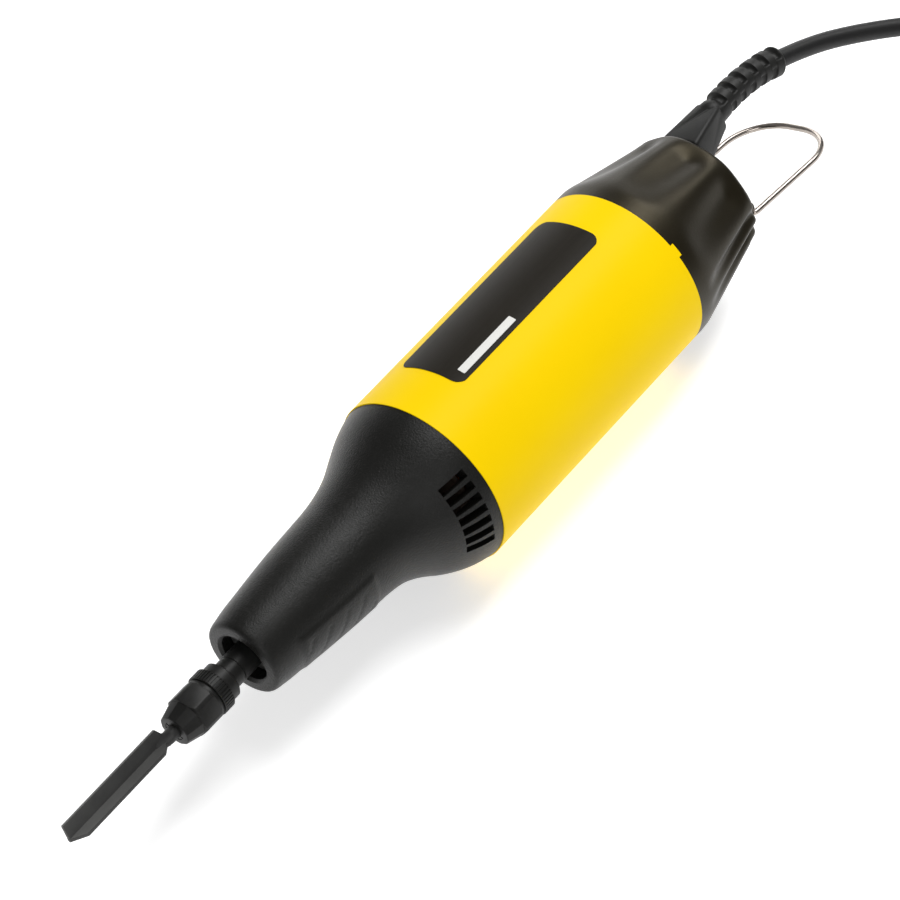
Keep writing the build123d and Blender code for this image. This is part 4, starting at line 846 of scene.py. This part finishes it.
# The neck is drawn along the curve that the cord's weight gives it
bend_line = bpy.data.curves.new("bend_line", "CURVE")
bend_line.dimensions = "3D"
bend_line.twist_mode = "Z_UP"
bend_line.resolution_u = 24
bend = bend_line.splines.new("BEZIER")
bend.bezier_points.add(2)
neck_way = Vector((math.cos(neck_turn), math.sin(neck_turn), 0))
bend_places = (sleeve_seat, sleeve_seat + neck_step, sleeve_seat + end_step)
bend_ways = (Vector((1, 0, 0)), neck_way, end_way)
bend_reaches = ((0.0057, 0.0057), (0.0057, 0.0100), (0.0100, 0.0100))
for point, place, way, (before, after) in zip(bend.bezier_points, bend_places, bend_ways, bend_reaches):
    point.handle_left_type = point.handle_right_type = "FREE"
    point.co = place
    point.handle_left = place - way * before
    point.handle_right = place + way * after
bend_guide = bpy.data.objects.new("bend_guide", bend_line)
bpy.context.scene.collection.objects.link(bend_guide)
moulded_sleeve.rotation_euler = (tool_roll, 0, 0)
finish_object(moulded_sleeve, "moulded_sleeve")
follow = moulded_sleeve.modifiers.new("follow", "CURVE")
follow.object = bend_guide
follow.deform_axis = "POS_X"
bpy.ops.object.modifier_apply(modifier="follow")
bpy.data.objects.remove(bend_guide)
held_end = turn_bar(held_steps, 48, cord_rise)
held_end.rotation_euler = (tool_roll, 0, 0)
held_end.location = (tool_shift, 0, tool_height)
finish_object(held_end, "held_end")
bpy.ops.object.select_all(action="DESELECT")
held_end.select_set(True)
moulded_sleeve.select_set(True)
bpy.context.view_layer.objects.active = moulded_sleeve
bpy.ops.object.join()
bpy.ops.object.shade_smooth_by_angle(angle=sleeve_smooth_angle)
moulded_sleeve.data.materials.clear()
moulded_sleeve.data.materials.append(sleeve_black())
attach(moulded_sleeve, "housing")
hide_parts("strain_relief")


# Hanging bail
# One length of steel wire, 1.8 mm thick and nickel plated, bent to a loop. Its ends are sprung into the
# cap's two ears, where it swings.
def plated_wire():
    """Nickel plating, warm and bright, with drawing marks that show through and a few dull spots."""
    material, place = begin_finish("plated_wire")
    spots = specks(place, 0.0015, 3.0)
    drawn = specks(place, 0.00012, 2.0)
    return end_finish(material, place, {
        "Base Color": blend_colours(place, spots, (0.30, 0.265, 0.235, 1), (0.52, 0.47, 0.43, 1)),
        "Metallic": 1.0,
        "Roughness": 0.14 + spots * 0.14,
        "Normal": relief(place, drawn, 0.000004),
    })


nickel_wire = plated_wire()
paint(nickel_wire, "hang_bail")


# Chuck and plunger
# A slit collet grips the gouge. The nut closes it on the plunger, and a toothed collar locks the nut.
# All are turned from steel bar and blackened in hot oxide, which leaves a soft dark sheen.
def lathe_turned(name, dark, pale, metal, rough, pitch=0.00018):
    """Turned steel: fine rings round the tool's axis and a mottled surface over them."""
    material, place = begin_finish(name)
    across = place.node("ShaderNodeMapping", sockets={"Vector": place, "Scale": (1 / pitch, 40, 40)})
    rings = across.node("ShaderNodeTexNoise", sockets={"Vector": across, "Scale": 1.0, "Detail": 1.0})
    mottle = specks(place, 0.0011, 3.0)
    return end_finish(material, place, {
        "Base Color": blend_colours(place, mottle, (*dark, 1), (*pale, 1)),
        "Metallic": metal,
        "Specular IOR Level": 0.25,
        "Roughness": rough + mottle * 0.16,
        "Normal": relief(place, rings, 0.000006),
    })


black_oxide = lathe_turned("black_oxide", (0.008, 0.008, 0.0075), (0.014, 0.014, 0.013),
                           metal=0.2, rough=0.34)
paint(black_oxide, "spindle_rod", "collet")
nut_rear = -0.0894
body_rear = -0.0906
body_front = -0.0975
nut_mouth = -0.1025
nut_corner = 0.00693
nut_turned = math.radians(22)
collet_bore = 0.00366
nut_easing = 0.00012
# Steps of the nut and the collar, each a place along the tool and a radius
nut_chamfer_steps = ((body_front - 0.0001, 0.0060), (body_front + 0.0005, 0.0066),
                     (body_rear - 0.0004, 0.0066), (body_rear + 0.0001, 0.0062))
nut_shoulder_steps = ((body_rear - 0.0002, 0.0059), (nut_rear, 0.0059))
nut_taper_steps = ((body_front + 0.0003, 0.00598), (body_front, 0.00598), (nut_mouth + 0.0002, 0.0047),
                   (nut_mouth, 0.0044))
nut_thread_steps = ((-0.0954, 0.00464), (-0.088, 0.00464))
nut_cone_steps = ((-0.1035, 0.0031), (nut_mouth, 0.0029), (nut_mouth + 0.005, collet_bore),
                  (-0.093, collet_bore))
collar_steps = ((-0.0893, 0.0062), (-0.0891, 0.0064), (-0.0859, 0.0064), (-0.0857, 0.0062),
                (-0.0857, 0.0056), (-0.0828, 0.0056), (-0.0825, 0.0053))
collar_bore_steps = ((-0.091, 0.00423), (-0.079, 0.00423))
knurl_teeth = 44
knurl_middle = -0.0875
knurl_half_length = 0.001
knurl_depth = 0.00022
knurl_flank = 0.00006

bpy.ops.object.select_all(action="DESELECT")
bpy.ops.mesh.primitive_cylinder_add(vertices=6, radius=nut_corner, depth=body_rear - body_front,
                                    rotation=(0, math.pi / 2, 0))
hex_nut = finish_object(bpy.context.object, "hex_nut")
hex_nut.rotation_euler = (nut_turned, 0, 0)
hex_nut.location = ((body_rear + body_front) / 2, 0, plunger_rise)
finish_object(hex_nut, "hex_nut")
fit_together(hex_nut, "INTERSECT", turn_bar(nut_chamfer_steps, 60, plunger_rise))
fit_together(hex_nut, "UNION", turn_bar(nut_shoulder_steps, 60, plunger_rise),
             turn_bar(nut_taper_steps, 12, plunger_rise))
ease_edges(hex_nut, nut_easing, 2, 24.0)
fit_together(hex_nut, "DIFFERENCE", turn_bar(nut_thread_steps, 48, plunger_rise),
             turn_bar(nut_cone_steps, 48, plunger_rise))
lay_down(hex_nut, "hex_nut", black_oxide, "nut", "black_oxide", "collet_nut")


def between_teeth(face):
    """True for the faces of the collar's rim that lie between two teeth."""
    place = face.center
    turn = math.degrees(math.atan2(-place.y, place.z - plunger_rise) + math.pi)
    tooth = int(turn / 360 * knurl_teeth * 2 + 0.25)
    return abs(place.x - knurl_middle) < knurl_half_length and tooth % 2 == 0


knurled_collar = turn_bar(collar_steps, knurl_teeth * 2, plunger_rise)
pick(knurled_collar, "FACE", between_teeth)
bpy.ops.mesh.inset(thickness=knurl_flank, use_individual=True)
bpy.ops.transform.shrink_fatten(value=-knurl_depth)
bpy.ops.object.mode_set(mode="OBJECT")
fit_together(knurled_collar, "DIFFERENCE", turn_bar(collar_bore_steps, 60, plunger_rise))
lay_down(knurled_collar, "knurled_collar", black_oxide, "plunger", "black_oxide", "lock_collar")


# Gouge
# A V-gouge with a round shank, forged and ground from tool steel. The 41 mm of it that stand out of the
# chuck are dark at the rear and brighter towards the ground edge. Its neck is cranked.
def ground_steel():
    """Grinding marks that run across the blade. The dark scale clears towards the tip. The side that faces +Y
    is painted lighter too: a painted highlight for the light that falls on that arm."""
    material, place = begin_finish("ground_steel")
    along = place.node("ShaderNodeSeparateXYZ", sockets={"Vector": place})
    to_tip = along.node("ShaderNodeMapRange", {"clamp": True}, {
        "Value": along, "From Min": -0.118, "From Max": -0.158, "To Min": 0.0, "To Max": 1.0})
    facing = place.node("ShaderNodeSeparateXYZ", sockets={
        "Vector": place.node("ShaderNodeTexCoord", output="Normal")}, output="Y")
    # Painted highlight: faces that point towards +Y get a lighter colour, standing in for the light on that
    # arm
    painted_lit_side = facing.maths("MAXIMUM", facing, 0.0)
    across = place.node("ShaderNodeMapping", sockets={"Vector": place, "Scale": (5200, 260, 260)})
    marks = across.node("ShaderNodeTexNoise", sockets={"Vector": across, "Scale": 1.0, "Detail": 3.0})
    stain = specks(place, 0.004, 3.0)
    # Share of lighter steel: scale cleared towards the tip and stains, plus the painted highlight on the +Y
    # side
    bare_metal_and_painted_lit_side = painted_lit_side * (0.5 + to_tip * 0.7) + to_tip * 0.25 + stain * 0.15
    return end_finish(material, place, {
        "Base Color": blend_colours(place, bare_metal_and_painted_lit_side, (0.016, 0.016, 0.016, 1), (0.16, 0.16, 0.155, 1)),
        "Metallic": 0.1,
        "Roughness": 0.42 + stain * 0.1 - to_tip * 0.06,
        "Specular IOR Level": 0.3,
        "Normal": relief(place, marks, 0.000006),
    })


blade_end = -0.1431
trough_rear = -0.1047
neck_front = -0.1041
shank_end = -0.0905
trough_middle = (0.00036, -0.00034)
arm_height = 0.0050
arm_thickness = 0.0009
arm_offset = (0.001451, 0.0008135)
arm_slant = 0.707
arm_easing = 0.00008
edge_drop = 0.0004
shank_radius = 0.002
crank_drop = 0.0006
# Each step of the crank: how far it goes on, and the shares of width and height that it keeps
crank_steps = (((-0.0006, 0.0, -0.0001), 0.98, 0.92),
               ((-0.0014, 0.00036, -0.0004), 1.05, 0.68),
               ((-0.0030, 0.0, -0.0001), 0.55, 0.5))
gouge_turn = math.radians(35.0)

arms = []
for side in (-1, 1):
    bpy.ops.object.select_all(action="DESELECT")
    bpy.ops.mesh.primitive_cube_add(size=1.0, scale=(trough_rear - blade_end, arm_height, arm_thickness),
                                    location=((trough_rear + blade_end) / 2, 0, 0))
    arm = finish_object(bpy.context.object, "arm")
    arm.rotation_euler = (side * math.radians(45), 0, 0)
    arm.location = (0, trough_middle[0] + side * arm_offset[0], trough_middle[1] + arm_offset[1])
    finish_object(arm, "arm")
    bpy.ops.object.mode_set(mode="EDIT")
    bpy.ops.mesh.select_all(action="SELECT")
    swept, shoulder = (0.75, 1.25) if side < 0 else (0.12, 0.5)
    bpy.ops.mesh.bisect(plane_co=(blade_end, trough_middle[0], trough_middle[1] - edge_drop),
                        plane_no=(-1, side * swept * arm_slant, swept * arm_slant),
                        use_fill=True, clear_outer=True)
    bpy.ops.mesh.select_all(action="SELECT")
    bpy.ops.mesh.bisect(plane_co=(trough_rear, *trough_middle),
                        plane_no=(1, side * shoulder * arm_slant, shoulder * arm_slant),
                        use_fill=True, clear_outer=True)
    bpy.ops.object.mode_set(mode="OBJECT")
    arms.append(arm)
bpy.ops.object.select_all(action="DESELECT")
bpy.ops.mesh.primitive_cylinder_add(vertices=32, radius=shank_radius, depth=shank_end - neck_front,
                                    location=((shank_end + neck_front) / 2, 0, 0),
                                    rotation=(0, math.pi / 2, 0))
gouge = finish_object(bpy.context.object, "ground_gouge")
pick(gouge, "FACE", lambda face: face.normal.x < -0.9)
for step, wide, high in crank_steps:
    bpy.ops.mesh.extrude_region_move(TRANSFORM_OT_translate={"value": step})
    bpy.ops.transform.resize(value=(1, wide, high),
                             center_override=(neck_front, trough_middle[0], -crank_drop))
bpy.ops.object.mode_set(mode="OBJECT")
fit_together(gouge, "UNION", *arms)
ease_edges(gouge, arm_easing, 2, 35.0)
gouge.rotation_euler = (gouge_turn, 0, 0)
gouge.location = (0, 0, plunger_rise)
finish_object(gouge, "ground_gouge")
lay_down(gouge, "ground_gouge", ground_steel(), "blade", "blade_steel", "chisel_blade")


# Plunger guide
# Two oil-soaked bronze bushes guide the plunger behind a felt ring that keeps the dust out. A steel
# coil pushes it forward, and the slanted cam strikes the ball in its rear end.
def pressed_bronze():
    """Pressed and sintered bronze, porous and dull with oil."""
    material, place = begin_finish("pressed_bronze")
    pores = place.node("ShaderNodeTexVoronoi", {"feature": "F1"}, {"Vector": place, "Scale": 3500.0})
    oil = specks(place, 0.003, 3.0)
    return end_finish(material, place, {
        "Base Color": blend_colours(place, oil, (0.28, 0.17, 0.07, 1), (0.45, 0.29, 0.13, 1)),
        "Metallic": 1.0,
        "Roughness": 0.42 + oil * 0.18,
        "Normal": relief(place, pores, 0.00003),
    })


def pressed_felt():
    """Dense grey wool felt."""
    material, place = begin_finish("pressed_felt")
    hairs = place.node("ShaderNodeTexNoise", sockets={
        "Vector": place, "Scale": 4000.0, "Detail": 5.0, "Distortion": 2.0})
    return end_finish(material, place, {
        "Base Color": blend_colours(place, hairs, (0.035, 0.035, 0.034, 1), (0.12, 0.12, 0.115, 1)),
        "Roughness": 0.95,
        "Normal": relief(place, hairs, 0.0001),
    })


bright_steel = lathe_turned("bright_steel", (0.42, 0.42, 0.43), (0.56, 0.56, 0.57),
                            metal=1.0, rough=0.2)
spring_steel = lathe_turned("spring_steel", (0.16, 0.16, 0.165), (0.28, 0.28, 0.285),
                            metal=1.0, rough=0.26, pitch=0.0004)
paint(pressed_bronze(), "front_bush", "rear_bush")
paint(pressed_felt(), "dust_seal")
paint(bright_steel, "spring_ring", "thrust_ball", "swash_cam", "motor_shaft", "front_bearing", "rear_bearing")
paint(spring_steel, "brush_spring_1", "brush_spring_2")

# The coil stands on the rear bush, and the stroke of the plunger shortens it to the share that is kept
spring_wire = 0.0006
spring_coil = 0.0059
spring_front = -0.051619
spring_pitch = 0.0022445
spring_turns = 4
bpy.ops.object.select_all(action="DESELECT")
bpy.ops.mesh.primitive_circle_add(vertices=12, radius=spring_wire, location=(spring_front, spring_coil, 0))
wound_spring = finish_object(bpy.context.object, "wound_spring")
winding = wound_spring.modifiers.new("winding", "SCREW")
winding.axis = "X"
winding.angle = 2 * math.pi
winding.screw_offset = spring_pitch
winding.iterations = spring_turns
winding.steps = winding.render_steps = 40
bpy.ops.object.modifier_apply(modifier="winding")
bpy.ops.object.mode_set(mode="EDIT")
bpy.ops.mesh.select_all(action="SELECT")
bpy.ops.mesh.remove_doubles(threshold=0.000001)
bpy.ops.mesh.fill_holes(sides=0)
bpy.ops.mesh.select_all(action="SELECT")
bpy.ops.mesh.normals_make_consistent(inside=False)
bpy.ops.object.mode_set(mode="OBJECT")
wound_spring.location = (0, 0, plunger_rise)
finish_object(wound_spring, "wound_spring")
lay_down(wound_spring, "wound_spring", spring_steel, "housing", "turned_steel", "return_spring")
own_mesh(wound_spring)


# Motor
# A series motor: stacked steel sheets on the shaft and in the barrel, enamelled copper in their slots,
# a commutator of copper bars, and a nylon fan. A die-cast plate in the handle holds the front bearing.
def stacked_sheets():
    """Half-millimetre steel sheets, seen on edge as fine bands along the shaft, under varnish."""
    material, place = begin_finish("stacked_sheets")
    along = place.node("ShaderNodeSeparateXYZ", sockets={"Vector": place})
    band = along.maths("PINGPONG", along * 2000.0, 0.5)
    varnish = specks(place, 0.005, 3.0)
    return end_finish(material, place, {
        "Base Color": blend_colours(place, band + varnish * 0.4, (0.05, 0.045, 0.042, 1),
                                    (0.22, 0.21, 0.2, 1)),
        "Metallic": 0.8,
        "Roughness": 0.36 + varnish * 0.2,
        "Normal": relief(place, band, 0.00005),
    })


def magnet_wire():
    """Lacquered copper wire wound side by side: strands half a millimetre thick."""
    material, place = begin_finish("magnet_wire")
    across = place.node("ShaderNodeMapping", sockets={"Vector": place, "Scale": (180, 1900, 1900)})
    strands = across.node("ShaderNodeTexNoise", sockets={"Vector": across, "Scale": 1.0, "Detail": 1.0})
    lacquer = specks(place, 0.004, 2.0)
    return end_finish(material, place, {
        "Base Color": blend_colours(place, strands * 0.6 + lacquer * 0.4, (0.20, 0.055, 0.018, 1),
                                    (0.52, 0.20, 0.07, 1)),
        "Metallic": 0.9,
        "Roughness": 0.3 + lacquer * 0.1,
        "Coat Weight": 0.5,
        "Coat Roughness": 0.2,
        "Normal": relief(place, strands, 0.00015),
    })


def worn_copper():
    """Hard copper polished by the brushes, with a brown film where they run."""
    material, place = begin_finish("worn_copper")
    along = place.node("ShaderNodeSeparateXYZ", sockets={"Vector": place})
    rub = along.node("ShaderNodeTexNoise", {"noise_dimensions": "1D"}, {"W": along * 2600.0, "Detail": 2.0})
    return end_finish(material, place, {
        "Base Color": blend_colours(place, rub, (0.34, 0.13, 0.06, 1), (0.66, 0.33, 0.18, 1)),
        "Metallic": 1.0,
        "Roughness": 0.2 + rub * 0.15,
        "Normal": relief(place, rub, 0.000008),
    })


def cast_alloy():
    """Die-cast zinc alloy with a dull flow-marked skin."""
    material, place = begin_finish("cast_alloy")
    flow = place.node("ShaderNodeTexNoise", sockets={
        "Vector": place, "Scale": 160.0, "Detail": 3.0, "Distortion": 1.2})
    return end_finish(material, place, {
        "Base Color": blend_colours(place, flow, (0.38, 0.38, 0.39, 1), (0.52, 0.52, 0.53, 1)),
        "Metallic": 1.0,
        "Roughness": 0.4 + flow * 0.15,
        "Normal": relief(place, flow, 0.00003),
    })


def waxy_nylon(name, first, second):
    """Moulded nylon or resin, slightly waxy, with moulding flow in it."""
    material, place = begin_finish(name)
    flow = specks(place, 0.008, 3.0)
    grain = specks(place, 0.0005, 2.0)
    return end_finish(material, place, {
        "Base Color": blend_colours(place, flow, (*first, 1), (*second, 1)),
        "Roughness": 0.38 + flow * 0.12,
        "Subsurface Weight": 0.05,
        "Subsurface Scale": 0.001,
        "Normal": relief(place, grain, 0.00001),
    })


sheet_stack = stacked_sheets()
copper_wire = magnet_wire()
paint(sheet_stack, "armature_core", "stator_core")
paint(copper_wire, "armature_winding", "field_coil_1", "field_coil_2")
paint(worn_copper(), "commutator")
paint(cast_alloy(), "bearing_plate")
paint(waxy_nylon("fan_nylon", (0.035, 0.024, 0.018), (0.05, 0.036, 0.027)), "cooling_fan")


# Brushes and rear bracket
# Two carbon blocks slide in brass boxes and are pressed on the commutator by small coils. The grey
# bracket behind them carries the rear bearing and takes the long screws from both ends.
def pressed_carbon():
    """Carbon block, dull and dusty, with faint pressing lines."""
    material, place = begin_finish("pressed_carbon")
    dust = specks(place, 0.0006, 4.0)
    return end_finish(material, place, {
        "Base Color": blend_colours(place, dust, (0.012, 0.012, 0.013, 1), (0.035, 0.035, 0.036, 1)),
        "Roughness": 0.62 + dust * 0.2,
        "Normal": relief(place, dust, 0.00002),
    })


def pressed_brass():
    """Brass sheet, folded, with handling marks."""
    material, place = begin_finish("pressed_brass")
    tarnish = specks(place, 0.003, 4.0)
    return end_finish(material, place, {
        "Base Color": blend_colours(place, tarnish, (0.45, 0.29, 0.08, 1), (0.74, 0.53, 0.20, 1)),
        "Metallic": 1.0,
        "Roughness": 0.24 + tarnish * 0.2,
        "Normal": relief(place, tarnish, 0.000015),
    })


bracket_grey = waxy_nylon("bracket_grey", (0.10, 0.105, 0.11), (0.14, 0.145, 0.15))
zinc_screw = lathe_turned("zinc_screw", (0.34, 0.35, 0.36), (0.52, 0.53, 0.55),
                          metal=1.0, rough=0.28, pitch=0.0005)
paint(pressed_carbon(), "carbon_brush_1", "carbon_brush_2")
paint(pressed_brass(), "brush_holder_1", "brush_holder_2")
paint(bracket_grey, "rear_bracket")
paint(zinc_screw, "motor_screw_1", "motor_screw_2", "cap_screw_1", "cap_screw_2", "clamp_screw_1",
      "clamp_screw_2")


# Switch
# A slide switch on the far side of the barrel: a ridged black thumb piece outside, joined through a
# slot to the sealed box inside.
switch_black = grained_black("switch_black", (0.012, 0.012, 0.012), (0.02, 0.02, 0.02),
                             grain=0.0005, depth=0.00002, rough=0.34)
paint(switch_black, "switch_slider", "switch_body")


# Wiring
# The cord runs under a clamp bar to a terminal block. A capacitor beside it quiets the brushes, and
# two leads run on through the bracket to the brush boxes.
capacitor_resin = waxy_nylon("capacitor_resin", (0.50, 0.24, 0.02), (0.58, 0.30, 0.03))
block_white = waxy_nylon("block_white", (0.62, 0.61, 0.57), (0.70, 0.69, 0.65))
paint(capacitor_resin, "capacitor")
paint(block_white, "terminal_block")
paint(switch_black, "cord_clamp")
paint(cord_vinyl, "lead_wire_1", "lead_wire_2", "inner_cord")


# Plug
# A flat plug for a two-pole socket, moulded on the cord's end in black vinyl. Its two pins are of
# nickel-plated brass, 4 mm thick.
plug_black = grained_black("plug_black", (0.013, 0.013, 0.013), (0.021, 0.021, 0.021),
                           grain=0.0006, depth=0.00002, rough=0.4)
paint(plug_black, "plug_body")
paint(nickel_wire, "plug_pin_1", "plug_pin_2")
